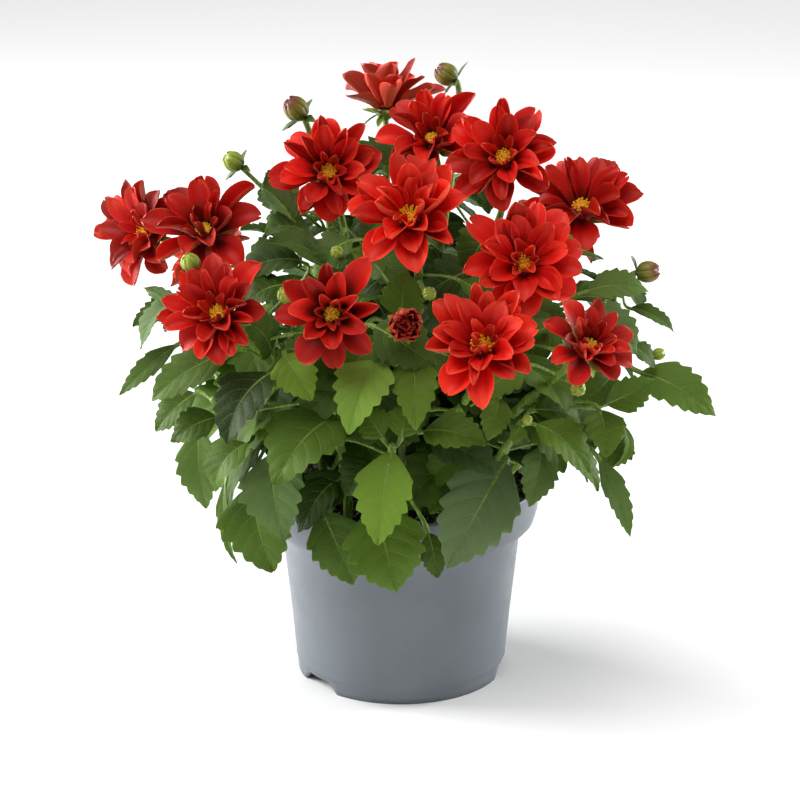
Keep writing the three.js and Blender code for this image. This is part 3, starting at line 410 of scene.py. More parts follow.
def cells(index):
    """The four corners of each cell of a grid of point numbers."""
    corners = index[:-1, :-1], index[1:, :-1], index[1:, 1:], index[:-1, 1:]
    return np.stack(corners, -1).reshape(-1, 4)


def sheet_grid(places, columns):
    """The grid of a sheet: the place along it, the side from 1 to -1 across it, and its UV."""
    along, side = np.meshgrid(places, np.linspace(1, -1, columns), indexing="ij")
    return along, side, np.stack([(1 - side) / 2, along], -1)


MARKS = ("under", "tone_and_shade", "along", "age")


class Growth:
    """Closed grids of points, gathered to become one mesh.

    Each point has a place, a UV, and four marks: under is 1 on the underside of a sheet, tone is
    how light the leaf or petal is, partly its own colour and partly painted light and shade, along
    runs from 0 at its root to 1 at its end, and age from 0 for a young leaf or bloom to 1 for an old
    one.
    """

    def __init__(self):
        self.count = 0
        self.points, self.quads, self.triangles = [], [], []
        self.uvs, self.marks, self.rims = [], [], []

    def add(self, points, quads, triangles, uv, under, tone_and_shade, along, age, rim):
        """Takes in one closed body, or several, with their marks."""
        self.points.append(points)
        self.quads.append(quads + self.count)
        self.triangles.append(triangles + self.count)
        self.uvs.append(uv)
        shape = len(points)
        self.marks.append(np.stack([np.broadcast_to(m, shape) for m in (under, tone_and_shade, along, age)], -1))
        self.rims.append(np.broadcast_to(rim, shape))
        self.count += shape

    def sheet(self, top, uv, thickness, tone_and_shade, age=0.0):
        """A thin closed sheet from the grid of its upper face.

        The lower face has the same inner points, each moved back along the surface's normal by the
        thickness, and the two faces share the points of the border.
        """
        rows, columns = top.shape[:2]
        normal = unit(np.cross(np.gradient(top, axis=0), np.gradient(top, axis=1)))
        upper = np.arange(rows * columns).reshape(rows, columns)
        inner = np.zeros((rows, columns), bool)
        inner[1:-1, 1:-1] = True
        lower = upper.copy()
        lower[inner] = rows * columns + np.arange(inner.sum())
        below = (top - normal * thickness)[inner]
        points = np.concatenate([top.reshape(-1, 3), below])
        quads = np.concatenate([cells(upper), cells(lower)[:, ::-1]])
        uv = np.concatenate([uv.reshape(-1, 2), uv[inner]])
        under = np.concatenate([np.zeros(rows * columns), np.ones(len(below))])
        rim = np.concatenate([~inner.ravel(), np.zeros(len(below), bool)])
        self.add(points, quads, np.zeros((0, 3), int), uv, under, tone_and_shade, uv[:, 1], age, rim)

    def rounds(self, rings, first, last, tone_and_shade=0.0):
        """Closed round bodies: rings of points, joined row by row, with a point at each end.

        rings holds bodies, rings and corners, and first and last one point for each body.
        """
        bodies, rows, columns = rings.shape[:3]
        each = rows * columns + 2
        index = np.arange(rows * columns).reshape(rows, columns)
        index = np.concatenate([index, index[:, :1]], 1)
        foot = np.full(columns, rows * columns)
        low = np.stack([foot, index[0, 1:], index[0, :-1]], -1)
        high = np.stack([foot + 1, index[-1, :-1], index[-1, 1:]], -1)
        shift = (np.arange(bodies) * each)[:, None, None]
        points = np.concatenate([rings.reshape(bodies, -1, 3), first[:, None], last[:, None]], 1)
        along = np.append(np.repeat(np.linspace(0, 1, rows + 2)[1:-1], columns), [0, 1])
        turn = np.append(np.tile(np.arange(columns) / columns, rows), [0.5, 0.5])
        quads = (cells(index)[:, ::-1] + shift).reshape(-1, 4)
        triangles = (np.concatenate([low, high]) + shift).reshape(-1, 3)
        uv = np.tile(np.stack([turn, along], -1), (bodies, 1))
        tone_and_shade, along = np.repeat(np.broadcast_to(tone_and_shade, bodies), each), np.tile(along, bodies)
        self.add(points.reshape(-1, 3), quads, triangles, uv, 0.0, tone_and_shade, along, 0.0, False)

    def tube(self, path, across, wide, deep, sides, ribs=0.0):
        """A tube round a path, closed at both ends.

        Each ring is an ellipse, wide along the way across and deep the other way. Ribs is the part
        of the radius by which five low ridges stand out along the tube.
        """
        along = unit(np.gradient(path, axis=0))
        across = unit(across - (across * along).sum(-1, keepdims=True) * along)
        other = np.cross(along, across)
        angle = turns(sides)
        ridge = 1 + ribs * np.cos(5 * angle)
        wide = np.asarray(wide)[:, None, None] * (ridge * np.cos(angle))[:, None]
        deep = np.asarray(deep)[:, None, None] * (ridge * np.sin(angle))[:, None]
        rings = path[:, None] + wide * across[:, None] + deep * other[:, None]
        self.rounds(rings[None], path[:1], path[-1:])

    def piece(self, name, material, slot, *nodes):
        """Makes the object, in metres, which rides on the root and stands for the CAD nodes named."""
        points, uv, marks = (np.concatenate(x) for x in (self.points, self.uvs, self.marks))
        quads, triangles = np.concatenate(self.quads), np.concatenate(self.triangles)
        corners = np.concatenate([quads.ravel(), triangles.ravel()]).astype(np.int32)
        starts = np.append(np.arange(len(quads)) * 4, len(quads) * 4 + np.arange(len(triangles)) * 3)
        mesh = bpy.data.meshes.new(name)
        mesh.vertices.add(len(points))
        mesh.vertices.foreach_set("co", (points * MM).astype(np.float32).ravel())
        mesh.loops.add(len(corners))
        mesh.loops.foreach_set("vertex_index", corners)
        mesh.polygons.add(len(starts))
        mesh.polygons.foreach_set("loop_start", starts.astype(np.int32))
        mesh.update(calc_edges=True)
        layer = mesh.uv_layers.new(name="Surface")
        layer.uv.foreach_set("vector", uv[corners].astype(np.float32).ravel())
        for mark, values in zip(MARKS, marks.T.astype(np.float32)):
            mesh.attributes.new(mark, "FLOAT", "POINT").data.foreach_set("value", values)
        mesh.shade_smooth()
        ends = np.empty(len(mesh.edges) * 2, np.int32)
        mesh.edges.foreach_get("vertices", ends)
        sharp = np.concatenate(self.rims)[ends].reshape(-1, 2).all(1)
        mesh.attributes.new("sharp_edge", "BOOLEAN", "EDGE").data.foreach_set("value", sharp)
        mesh.materials.append(material)
        made = bpy.data.objects.new(name, mesh)
        bpy.context.scene.collection.objects.link(made)
        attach(made, "root")
        if nodes:
            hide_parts(*nodes)
        return made


def linear(code):
    """A linear colour with full alpha, from an sRGB hex code."""
    parts = [int(code[i : i + 2], 16) / 255 for i in (1, 3, 5)]
    return [*(p / 12.92 if p <= 0.04045 else ((p + 0.055) / 1.055) ** 2.4 for p in parts), 1.0]


def node(material, kind, inputs=(), **settings):
    """Adds one node: its settings, and its inputs as values or as the sockets they come from."""
    made = material.node_tree.nodes.new(kind)
    for name, value in settings.items():
        setattr(made, name, value)
    for socket, value in dict(inputs).items():
        if isinstance(value, bpy.types.NodeSocket):
            material.node_tree.links.new(value, made.inputs[socket])
        else:
            made.inputs[socket].default_value = value
    return made


def bare_material(name):
    """A new material with no nodes yet."""
    material = bpy.data.materials.new(name)
    material.use_nodes = True
    material.node_tree.nodes.clear()
    return material


def finish_material(material, inputs):
    """Gives a material its Principled shader, with the inputs named, and its output."""
    shader = node(material, "ShaderNodeBsdfPrincipled", inputs)
    node(material, "ShaderNodeOutputMaterial", {0: shader.outputs[0]})
    return material


def mixed(material, part, a, b):
    """The colour between two colours, by a part from 0 to 1."""
    return node(material, "ShaderNodeMix", {0: part, 6: a, 7: b}, data_type="RGBA").outputs[2]


def layered(material, colour, layers):
    """A colour with others laid over it in turn, each by its part from 0 to 1."""
    for part, over in layers:
        colour = mixed(material, part, colour, over)
    return colour


def ramped(material, value, low, high, start=0.0, end=1.0):
    """A value taken smoothly from start to end, as it goes from low to high."""
    inputs = {0: value, 1: low, 2: high, 3: start, 4: end}
    return node(material, "ShaderNodeMapRange", inputs, interpolation_type="SMOOTHSTEP").outputs[0]


def maths(material, operation, *values):
    """The result of one sum on up to three values."""
    return node(material, "ShaderNodeMath", dict(enumerate(values)), operation=operation).outputs[0]


def marked(material, mark):
    """The value of one of the marks on the surface."""
    return node(material, "ShaderNodeAttribute", attribute_name=mark).outputs["Fac"]


def product(material, a, b):
    """Two values multiplied."""
    return maths(material, "MULTIPLY", a, b)


def scaled_sum(material, value, factor, added):
    """A value times a factor, plus another value."""
    return maths(material, "MULTIPLY_ADD", value, factor, added)


def sheet_place(material):
    """Where a point is on a sheet: its UV, how far it is from the middle line as a part of the half
    width, and how far it is from the root to the tip."""
    where = node(material, "ShaderNodeUVMap", uv_map="Surface").outputs[0]
    u, v, _ = node(material, "ShaderNodeSeparateXYZ", {0: where}).outputs
    return where, maths(material, "ABSOLUTE", scaled_sum(material, u, 2.0, -1.0)), v


def object_place(material):
    """Where a point is in the object's own coordinates."""
    return node(material, "ShaderNodeTexCoord").outputs["Object"]


def noise(material, size_mm, detail=2.0, where=None):
    """Noise in Object coordinates, with lumps of the size given in millimetres."""
    inputs = {"Vector": where or object_place(material), "Scale": 1 / (size_mm * MM), "Detail": detail}
    return node(material, "ShaderNodeTexNoise", inputs).outputs["Fac"]


def bump(material, height, depth_mm, after=None):
    """A bump normal whose full height is the depth given in millimetres."""
    inputs = {"Height": height, "Strength": 1.0, "Distance": depth_mm * MM}
    if after:
        inputs["Normal"] = after
    return node(material, "ShaderNodeBump", inputs).outputs[0]


def colour_setting(name, description, code):
    """A colour setting whose default is an sRGB hex code."""
    return FloatVectorProperty(
        name=name, description=description, subtype="COLOR", size=4, default=linear(code)
    )


def mm_setting(name, description, size):
    """A setting for a size in millimetres."""
    return FloatProperty(name=name, description=f"{description}, in mm", default=size)


class PotSettings(bpy.types.PropertyGroup):
    """Sizes and colours of the nursery pot."""

    notch_width: mm_setting("Notch width", "Width of a notch in the foot", 15.0)
    notch_height: mm_setting("Notch height", "Height of a notch in the foot", 5.0)
    drain_radius: mm_setting("Drain radius", "Radius of a drain hole", 4.0)
    drain_circle: mm_setting("Drain circle", "How far the drain holes are from the axis", 36.0)
    sides: IntProperty(name="Sides", description="Corners round the pot", default=192, min=24)
    colour: colour_setting("Colour", "Colour of the moulded plastic", "#6c7279")
    shade: colour_setting("Shade", "Colour of its slightly darker clouds", "#676d74")


class SoilSettings(bpy.types.PropertyGroup):
    """Sizes and colours of the soil."""

    crumbs: IntProperty(name="Crumbs", description="Loose crumbs on the soil", default=620, min=0)
    grains: IntProperty(name="Perlite grains", description="Pale grains on the soil", default=800, min=0)
    crumb_radius: mm_setting("Crumb radius", "Radius of a middling crumb", 1.3)
    colour: colour_setting("Colour", "Colour of the damp peat", "#5a4a3c")
    shade: colour_setting("Shade", "Colour of the wettest peat", "#221a15")


class BloomSettings(bpy.types.PropertyGroup):
    """Shape and colours of the blooms."""

    thickness: mm_setting("Petal thickness", "Thickness of a petal", 0.45)
    ribs: mm_setting("Ribs", "Height of the long ribs of a petal", 0.3)
    ruffle: mm_setting("Ruffle", "How far a petal's edge waves", 0.7)
    florets: IntProperty(name="Florets", description="Florets in a disc", default=44, min=8)
    red: colour_setting("Red", "Colour of a petal", "#cd1913")
    # Maroon is partly painted shade in the petals' troughs, and flame and pale are partly painted highlight
    # on the outer half, the rim and the tip; pale also colours faded ends.
    maroon: colour_setting("Maroon", "Colour at the foot of a petal", "#5f160d")
    flame: colour_setting("Flame", "Colour of the outer part of a petal", "#dc301c")
    pale: colour_setting("Pale", "Colour of a petal's rim and faded end", "#e65038")
    back: colour_setting("Back", "Colour of a petal's back", "#c24c36")
    yellow: colour_setting("Yellow", "Colour of an open floret", "#ffc21e")


class LeafSettings(bpy.types.PropertyGroup):
    """Shape and colours of leaves, stems and buds."""

    thickness: mm_setting("Leaf thickness", "Thickness of a leaf blade", 0.5)
    teeth: IntProperty(name="Teeth", description="Teeth on each side of a leaf", default=6, min=2)
    tooth_depth: FloatProperty(
        name="Tooth depth", description="Depth of a tooth as a part of the half width", default=0.2
    )
    quilt: mm_setting("Quilting", "How far a blade bulges between its veins", 0.36)
    fold: FloatProperty(
        name="Fold", description="Rise of a blade's edge as a part of its half width", default=0.22
    )
    # The dark green is partly the colour of old leaves and partly painted shade for leaves deep in the
    # foliage.
    dark: colour_setting("Dark green", "Colour of an old leaf", "#2c4110")
    green: colour_setting("Green", "Colour of a grown leaf", "#577323")
    bright: colour_setting("Bright green", "Colour of a young leaf", "#7fa034")
    grey: colour_setting("Grey green", "Colour of an old, dull leaf", "#66785a")
    vein: colour_setting("Vein", "Colour of a leaf's veins", "#85a352")


class StageSettings(bpy.types.PropertyGroup):
    """Floor, camera and lights."""

    floor: FloatProperty(
        name="Floor", description="Width of the floor", default=8.0, unit="LENGTH"
    )
    camera_back: FloatProperty(
        name="Camera distance", description="How far the camera is in front", default=1.09625, unit="LENGTH"
    )
    camera_height: FloatProperty(
        name="Camera height", description="Height of the camera", default=0.48808, unit="LENGTH"
    )
    camera_dip: FloatProperty(
        name="Camera dip", description="How far the camera looks down", subtype="ANGLE",
        default=math.radians(17.97),
    )
    lens: mm_setting("Lens", "Focal length on a 36 mm sensor", 111.2)
    key: FloatProperty(
        name="Key light", description="Strength of the light from the left", default=37.0, subtype="POWER"
    )
    fill: FloatProperty(
        name="Fill light", description="Strength of the light from the right", default=20.0, subtype="POWER"
    )
    top: FloatProperty(name="Top light", description="Strength of the even light from above", default=1.8)
    sky: FloatProperty(name="Sky", description="Strength of the even light all round", default=0.28)


def translucent(weight, radius):
    """The shader's inputs for light that passes through living tissue, as far as the radius in
    metres for red, green and blue."""
    return {"Subsurface Weight": weight, "Subsurface Radius": radius, "Subsurface Scale": 1.0}


def pot_plastic(name, sizes):
    """Polypropylene, injection moulded: satin and even, with a fine moulded grain and faint clouds
    where the grey pigment lies thicker. The grain is drawn at 0.7 mm, coarser than the real one."""
    material = bare_material(name)
    clouds = ramped(material, noise(material, 28.0, 3.0), 0.35, 0.65)
    return finish_material(material, {
        "Base Color": mixed(material, clouds, sizes.shade, sizes.colour),
        "Roughness": ramped(material, noise(material, 9.0, 4.0), 0.3, 0.7, 0.36, 0.46),
        "IOR": 1.49,
        "Specular IOR Level": 0.5,
        "Normal": bump(material, noise(material, 0.7), 0.02),
    })


def soil_peat(name, sizes):
    """Potting peat, damp: dark brown crumbs with lighter fibres, quite matt, rough at 1 mm."""
    material = bare_material(name)
    lumps = noise(material, 3.0, 5.0)
    fine = noise(material, 0.8, 3.0)
    return finish_material(material, {
        "Base Color": mixed(material, ramped(material, lumps, 0.35, 0.65), sizes.shade, sizes.colour),
        "Roughness": ramped(material, fine, 0.3, 0.7, 0.7, 0.95),
        "Normal": bump(material, fine, 0.5, bump(material, lumps, 0.8)),
    })


def perlite(name):
    """Perlite, expanded volcanic glass: dull white, pitted grains, stained a little by the peat."""
    material = bare_material(name)
    stain = ramped(material, noise(material, 2.5), 0.45, 0.7)
    return finish_material(material, {
        "Base Color": mixed(material, stain, linear("#d6d2c8"), linear("#8d8172")),
        "Roughness": 0.85,
        "Normal": bump(material, noise(material, 0.7, 3.0), 0.4),
    })


def petal_tissue(name, sizes, darker):
    """Dahlia petal, living: velvety, maroon at its foot and scarlet to flame further out, with fine
    long veins and a thin paler rim. The maroon reaches further up the middle than the edges, partly
    its own colour and partly painted shade in the petal's trough; the flame clouds and the paler rim
    and tip are partly its own colour and partly painted highlight. Old petals have less maroon and
    paler ends. The back is salmon with red veins. The veins are drawn 0.7 mm apart on a petal 14 mm
    wide, as coarse as the render can show, and the whole petal is brighter where its tone is high,
    which carries painted light and shade for each bloom."""
    material = bare_material(name)
    where, rim, v = sheet_place(material)
    under, tone_and_shade, age = (marked(material, mark) for mark in ("under", "tone_and_shade", "age"))
    cloud = noise(material, 6.0, 3.0)
    bands = node(material, "ShaderNodeMapping", {"Vector": where, "Scale": (20.0, 1.2, 1.0)}).outputs[0]
    veins = node(material, "ShaderNodeTexNoise", {"Vector": bands, "Scale": 1.0, "Detail": 2.0}).outputs[0]
    grown = scaled_sum(material, age, 0.42, scaled_sum(material, cloud, 0.25, v))
    # Painted shade: the maroon foot stays longer in the middle of a petal than at its edges, partly its own
    # colour and partly shade in the trough.
    grown = scaled_sum(material, rim, 0.15, grown)
    foot = ramped(material, grown, 0.36 + darker, 0.92 + darker)
    # Flame clouds on the outer half: partly the petal's own colour and partly painted highlight.
    outer = product(material, ramped(material, v, 0.5, 1.0), ramped(material, cloud, 0.3, 0.75))
    # The paler rim and tip: partly the petal's own colour and partly painted highlight where the cupped
    # edges catch the light.
    edge = product(material, ramped(material, rim, 0.86, 1.0), ramped(material, v, 0.3, 0.8))
    tip = ramped(material, v, 0.93, 1.0)
    pale = product(material, maths(material, "MAXIMUM", edge, tip), 0.4)
    old = ramped(material, age, 0.45, 1.0, 0.15, 0.6)
    faded = product(material, old, ramped(material, v, 0.6, 1.0))
    faded = product(material, faded, ramped(material, veins, 0.35, 0.6, 0.5, 1.0))
    face = layered(material, sizes.maroon, (
        (foot, sizes.red),
        (outer, sizes.flame),
        (ramped(material, veins, 0.55, 0.75, 0.0, 0.35), sizes.maroon),
        (maths(material, "MAXIMUM", pale, faded), sizes.pale),
    ))
    dull = [a + (b - a) * darker for a, b in zip(sizes.back, sizes.maroon)]
    back = mixed(material, ramped(material, veins, 0.45, 0.7), dull, sizes.red)
    colour = mixed(material, under, face, back)
    # Painted light and shade: the tone makes the whole petal brighter or darker, and carries each bloom's
    # painted light.
    light = ramped(material, tone_and_shade, -3.0, 3.0, 0.25, 1.75)
    lit = node(material, "ShaderNodeHueSaturation", {"Color": colour, "Value": light})
    return finish_material(material, {
        "Base Color": lit.outputs[0],
        "Roughness": ramped(material, veins, 0.3, 0.7, 0.38, 0.54),
        "IOR": 1.4,
        "Specular IOR Level": 0.3,
        "Sheen Weight": 0.08,
        "Sheen Roughness": 0.4,
        "Sheen Tint": linear("#ff5a30"),
        **translucent(0.12, (0.002, 0.0004, 0.0003)),
        "Normal": bump(material, veins, 0.12),
    })


def floret_tissue(name, sizes):
    """Disc florets of a dahlia: waxy little tubes, brownish at the foot and golden at the mouth, the
    closed ones in the middle duller."""
    material = bare_material(name)
    ripe = ramped(material, marked(material, "tone_and_shade"), 0.0, 0.6)
    gold = mixed(material, ripe, linear("#cfa822"), sizes.yellow)
    foot = ramped(material, marked(material, "along"), 0.0, 0.3)
    return finish_material(material, {
        "Base Color": mixed(material, foot, linear("#c97a1c"), gold),
        "Roughness": 0.5,
        **translucent(0.1, (0.001, 0.0006, 0.0002)),
        "Normal": bump(material, noise(material, 0.5), 0.1),
    })


def vein_line(material, distance, width, start, end):
    """1 on a vein and 0 beside it: the distance from its middle, taken in parts of the width."""
    away = ramped(material, maths(material, "DIVIDE", distance, width), start, end)
    return maths(material, "SUBTRACT", 1.0, away)


def leaf_tissue(name, sizes):
    """Dahlia leaf, living: a satin green cuticle with a fine pebbled grain, a pale midrib, side veins
    that end in the teeth, and a paler underside. Dark where the tone is low, partly for old leaves and
    partly as painted shade, and nearly black at the lowest, which is painted shade for leaves deep in
    the foliage; bright where it is high and grey where it is old. The grain's cells are drawn 1.3 mm
    across."""
    material = bare_material(name)
    _, aside, v = sheet_place(material)
    under, tone_and_shade, age = (marked(material, mark) for mark in ("under", "tone_and_shade", "age"))
    midrib = vein_line(material, aside, ramped(material, v, 0.0, 1.0, 0.06, 0.025), 0.4, 1.1)
    off = maths(material, "PINGPONG", product(material, v, float(sizes.teeth)), 0.5)
    side_vein = vein_line(material, off, ramped(material, aside, 0.0, 1.0, 0.06, 0.02), 0.3, 1.1)
    side_vein = product(material, side_vein, ramped(material, aside, 0.99, 0.75))
    veins = maths(material, "MAXIMUM", midrib, product(material, side_vein, 0.5))
    pebble_inputs = {"Vector": object_place(material), "Scale": 1 / (1.3 * MM)}
    pebbles = node(material, "ShaderNodeTexVoronoi", pebble_inputs, feature="DISTANCE_TO_EDGE").outputs[0]
    net = ramped(material, pebbles, 0.02, 0.16)
    cloud = noise(material, 11.0, 4.0)
    light = ramped(material, scaled_sum(material, cloud, 0.7, tone_and_shade), -0.65, 0.95)
    face = layered(material, sizes.dark, (
        (light, sizes.green),
        # Painted shade: the darkest leaves are laid over with near-black green, for leaves deep in the
        # foliage.
        (ramped(material, tone_and_shade, -1.6, -0.7, 0.75, 0.0), linear("#121a09")),
        (ramped(material, tone_and_shade, 0.45, 1.0), sizes.bright),
        (product(material, age, 0.75), sizes.grey),
        (ramped(material, net, 0.0, 1.0, 0.08, 0.0), sizes.bright),
        (ramped(material, veins, 0.0, 1.0, 0.0, 0.5), sizes.vein),
    ))
    back = mixed(material, ramped(material, veins, 0.0, 1.0, 0.15, 0.75), linear("#6f8a5c"), sizes.vein)
    relief = maths(material, "SUBTRACT", product(material, net, 0.25), veins)
    worn = scaled_sum(material, age, 0.5, cloud)
    return finish_material(material, {
        "Base Color": mixed(material, under, face, mixed(material, 0.35, back, face)),
        "Roughness": ramped(material, worn, 0.3, 1.0, 0.46, 0.68),
        "IOR": 1.42,
        "Specular IOR Level": 0.16,
        **translucent(0.06, (0.0006, 0.001, 0.0002)),
        "Normal": bump(material, relief, 0.22),
    })


def stem_tissue(name):
    """Stem and leaf stalk of a dahlia: juicy, satin, yellow-green, flushed brown here and there, with
    fine long ribs."""
    material = bare_material(name)
    flush = ramped(material, noise(material, 14.0, 3.0), 0.5, 0.75, 0.0, 0.4)
    long = {"Vector": object_place(material), "Scale": (1.0, 1.0, 0.12)}
    streaks = noise(material, 0.9, 2.0, node(material, "ShaderNodeMapping", long).outputs[0])
    green = mixed(material, ramped(material, streaks, 0.35, 0.7), linear("#5e7d30"), linear("#8fae4e"))
    return finish_material(material, {
        "Base Color": mixed(material, flush, green, linear("#6b5a2c")),
        "Roughness": 0.42,
        "IOR": 1.42,
        **translucent(0.1, (0.0008, 0.0012, 0.0003)),
        "Normal": bump(material, streaks, 0.15),
    })


def bract_tissue(name):
    """Bracts and closed buds of a dahlia: smooth, a little glossy, yellow-green, darker at the foot
    and the rim, stained maroon at the tip where the tone is high, and dull green where it is low."""
    material = bare_material(name)
    along, tone_and_shade = marked(material, "along"), marked(material, "tone_and_shade")
    cloud = noise(material, 4.0, 3.0)
    _, rim, _ = sheet_place(material)
    grown = ramped(material, scaled_sum(material, cloud, 0.5, along), 0.3, 1.2)
    ripe = ramped(material, tone_and_shade, 0.3, 1.0)
    olive = mixed(material, grown, linear("#4f5c1e"), linear("#8d7c2c"))
    tip = ramped(material, along, 0.6, 0.95)
    edge = maths(material, "MAXIMUM", ramped(material, rim, 0.6, 1.0, 0.0, 0.6), tip)
    return finish_material(material, {
        "Base Color": layered(material, linear("#46651f"), (
            (grown, linear("#9cb034")),
            (product(material, ripe, 0.8), olive),
            (product(material, ripe, edge), linear("#6b2519")),
            (ramped(material, rim, 0.75, 1.0, 0.0, 0.45), linear("#35491a")),
            (ramped(material, tone_and_shade, -0.2, -1.0, 0.0, 0.85), linear("#3c5426")),
        )),
        "Roughness": ramped(material, cloud, 0.3, 0.7, 0.34, 0.46),
        "IOR": 1.45,
        **translucent(0.08, (0.0008, 0.0012, 0.0003)),
        "Normal": bump(material, noise(material, 1.1), 0.08),
    })


def shared(name, maker, *values):
    """The material of that name, made the first time it is asked for."""
    return bpy.data.materials.get(name) or maker(name, *values)


def nearest_turn(angle, azimuth):
    """How far an angle is from an azimuth, in radians, at most half a turn."""
    return np.abs((angle - azimuth + np.pi) % (2 * np.pi) - np.pi)


def notch_rise(angle, sizes):
    """How far the foot is cut away at each angle: the notch height inside a notch, and falling one
    to one outside its half width. Azimuth 0 is the front, so it stands at -90 degrees."""
    rise = np.zeros_like(angle)
    for azimuth in NOTCH_AZIMUTHS:
        arc = NOTCH_RADIUS * nearest_turn(angle, math.radians(azimuth - 90))
        inside = sizes.notch_width / 2 + sizes.notch_height - arc
        rise = np.maximum(rise, np.clip(inside, 0, sizes.notch_height))
    return rise


def lathe_rings(profile, sides):
    """Rings of points for a profile of radius and height turned round the axis, and their angles."""
    profile = np.array(profile)
    angle = turns(sides)
    radius, height = profile[:, :1], profile[:, 1:]
    rings = np.stack([radius * np.cos(angle), radius * np.sin(angle), height + 0 * angle], -1)
    return rings, angle


class DAHLIA_OT_pot(bpy.types.Operator):
    """Makes the round tapered nursery pot with its collar, foot notches and drain holes"""

    bl_idname = "dahlia.pot"
    bl_label = "Pot"

    def execute(self, context):
        """The profile is turned round the axis. Below the raised line the foot's heights are squeezed
        upward by the rise of the notch at that angle, and the drain holes are cut last."""
        sizes = context.scene.dahlia_pot
        profile = POT_PLATE_UNDER + POT_FOOT + POT_OUTSIDE + POT_INSIDE + POT_PLATE_TOP
        rings, angle = lathe_rings(profile, sizes.sides)
        wall = np.hypot(rings[..., 0], rings[..., 1]) > WALL_RADIUS
        rise = notch_rise(angle, sizes)
        low = wall & (rings[..., 2] < FOOT_HEIGHT)
        squeezed = rise + rings[..., 2] * (FOOT_HEIGHT - rise) / FOOT_HEIGHT
        rings[..., 2] = np.where(low, squeezed, rings[..., 2])
        growth = Growth()
        growth.rounds(rings[None], np.zeros((1, 3)), np.array([[0, 0, 2.0]]))
        pot = growth.piece("pot_moulded", shared("polypropylene_moulded", pot_plastic, sizes), "pot", "pot")
        cutter = Growth()
        around, _ = lathe_rings([(sizes.drain_radius, DRAIN_FROM), (sizes.drain_radius, DRAIN_TO)], 24)
        corner = np.arange(4) * np.pi / 2 + np.pi / 4
        middle = sizes.drain_circle * np.stack([np.cos(corner), np.sin(corner), 0 * corner], -1)
        ends = middle + UP * DRAIN_FROM, middle + UP * DRAIN_TO
        cutter.rounds(around[None] + middle[:, None, None], *ends)
        tool = cutter.piece("drain_cutter", pot.data.materials[0], "pot")
        cut = pot.modifiers.new("Drain holes", "BOOLEAN")
        cut.object, cut.solver = tool, "EXACT"
        holed = bpy.data.meshes.new_from_object(pot.evaluated_get(context.evaluated_depsgraph_get()))
        pot.modifiers.clear()
        pot.data = holed
        bpy.data.objects.remove(tool)
        return {"FINISHED"}


def soil_height(x, y):
    """Height of the soil's top: slow waves and small lumps about its level, lower at the wall."""
    flat = np.stack([x, y, 0 * x], -1)
    lumps = 1.1 * ripple(flat, 23.0, 1) + 0.6 * ripple(flat, 7.0, 2) + 0.35 * ripple(flat, 3.1, 3)
    return SOIL_TOP + lumps - 2.2 * np.clip((np.hypot(x, y) - 50) / 12, 0, 1)


class DAHLIA_OT_soil(bpy.types.Operator):
    """Makes the soil with its crumbs and pale grains"""

    bl_idname = "dahlia.soil"
    bl_label = "Soil"

    def execute(self, context):
        """The body is a turned profile whose top follows the soil's height. Crumbs and grains are
        small round bodies with uneven radii, laid on the top at seeded places."""
        sizes = context.scene.dahlia_soil
        top = [(radius, SOIL_TOP) for radius in np.linspace(SOIL_RADIUS, 1.5, 34)]
        rings, _ = lathe_rings(SOIL_SIDE + top, 96)
        above = rings[len(SOIL_SIDE):]
        above[..., 2] = soil_height(above[..., 0], above[..., 1])
        growth = Growth()
        growth.rounds(rings[None], np.array([[0, 0, 2.4]]), np.array([[0, 0, SOIL_TOP]]))
        peat = shared("peat_damp", soil_peat, sizes)
        growth.piece("soil_body", peat, "soil", "soil")
        dip = np.linspace(-1.1, 1.1, 4)[:, None]
        around = turns(7)
        level = np.cos(dip)
        ball = np.stack([level * np.cos(around), level * np.sin(around), np.sin(dip) + 0 * around], -1)
        for name, count, size, material, seed in (
            ("soil_crumbs", sizes.crumbs, 1.0, peat, 5),
            ("perlite_grains", sizes.grains, 0.6, shared("perlite_expanded", perlite), 6),
        ):
            rng = np.random.default_rng(seed)
            far = CRUMB_REACH * np.sqrt(rng.uniform(0, 1, count))
            turn = rng.uniform(0, 2 * np.pi, count)
            x, y = far * np.cos(turn), far * np.sin(turn)
            radius = sizes.crumb_radius * size * rng.uniform(0.5, 1.5, count)
            height = soil_height(x, y) + 0.25 * radius
            middle = np.stack([x, y, height], -1)
            stretch = rng.uniform(0.7, 1.3, (count, 1, 1, 3))
            uneven = rng.uniform(0.78, 1.2, (count, 4, 7, 1))
            bodies = middle[:, None, None] + radius[:, None, None, None] * ball * stretch * uneven
            ends = (middle - UP * 0.9 * radius[:, None], middle + UP * 0.9 * radius[:, None])
            loose = Growth()
            loose.rounds(bodies, *ends)
            loose.piece(name, material, "soil")
        return {"FINISHED"}


def bloom_face(bloom):
    """The face of a bloom, with its origin under the red base that holds its petals."""
    out = facing(bloom.azimuth, bloom.lift)
    return Face(np.array(bloom.middle) - out * (CORE_HEIGHT + DISC_HEIGHT / 2), out)


# How far along a petal its rows of points are. Each outline holds places along a blade and the half
# width there, as a part of the widest.
PETAL_PLACES = np.array([0, 0.08, 0.17, 0.27, 0.38, 0.49, 0.59, 0.68, 0.76, 0.83, 0.89, 0.94, 0.975, 1.0])
PETAL_OUTLINE = [
    (0, 0.3), (0.17, 0.49), (0.32, 0.72), (0.46, 0.9), (0.58, 0.99), (0.68, 0.99), (0.79, 0.89),
    (0.88, 0.73), (0.95, 0.52), (1.0, 0.18),
]
# How many degrees a petal that points straight down sags at its tip, and how many a petal that
# points straight up stands up more at its root.
PETAL_SAG = 28.0
PETAL_STAND = 8.0


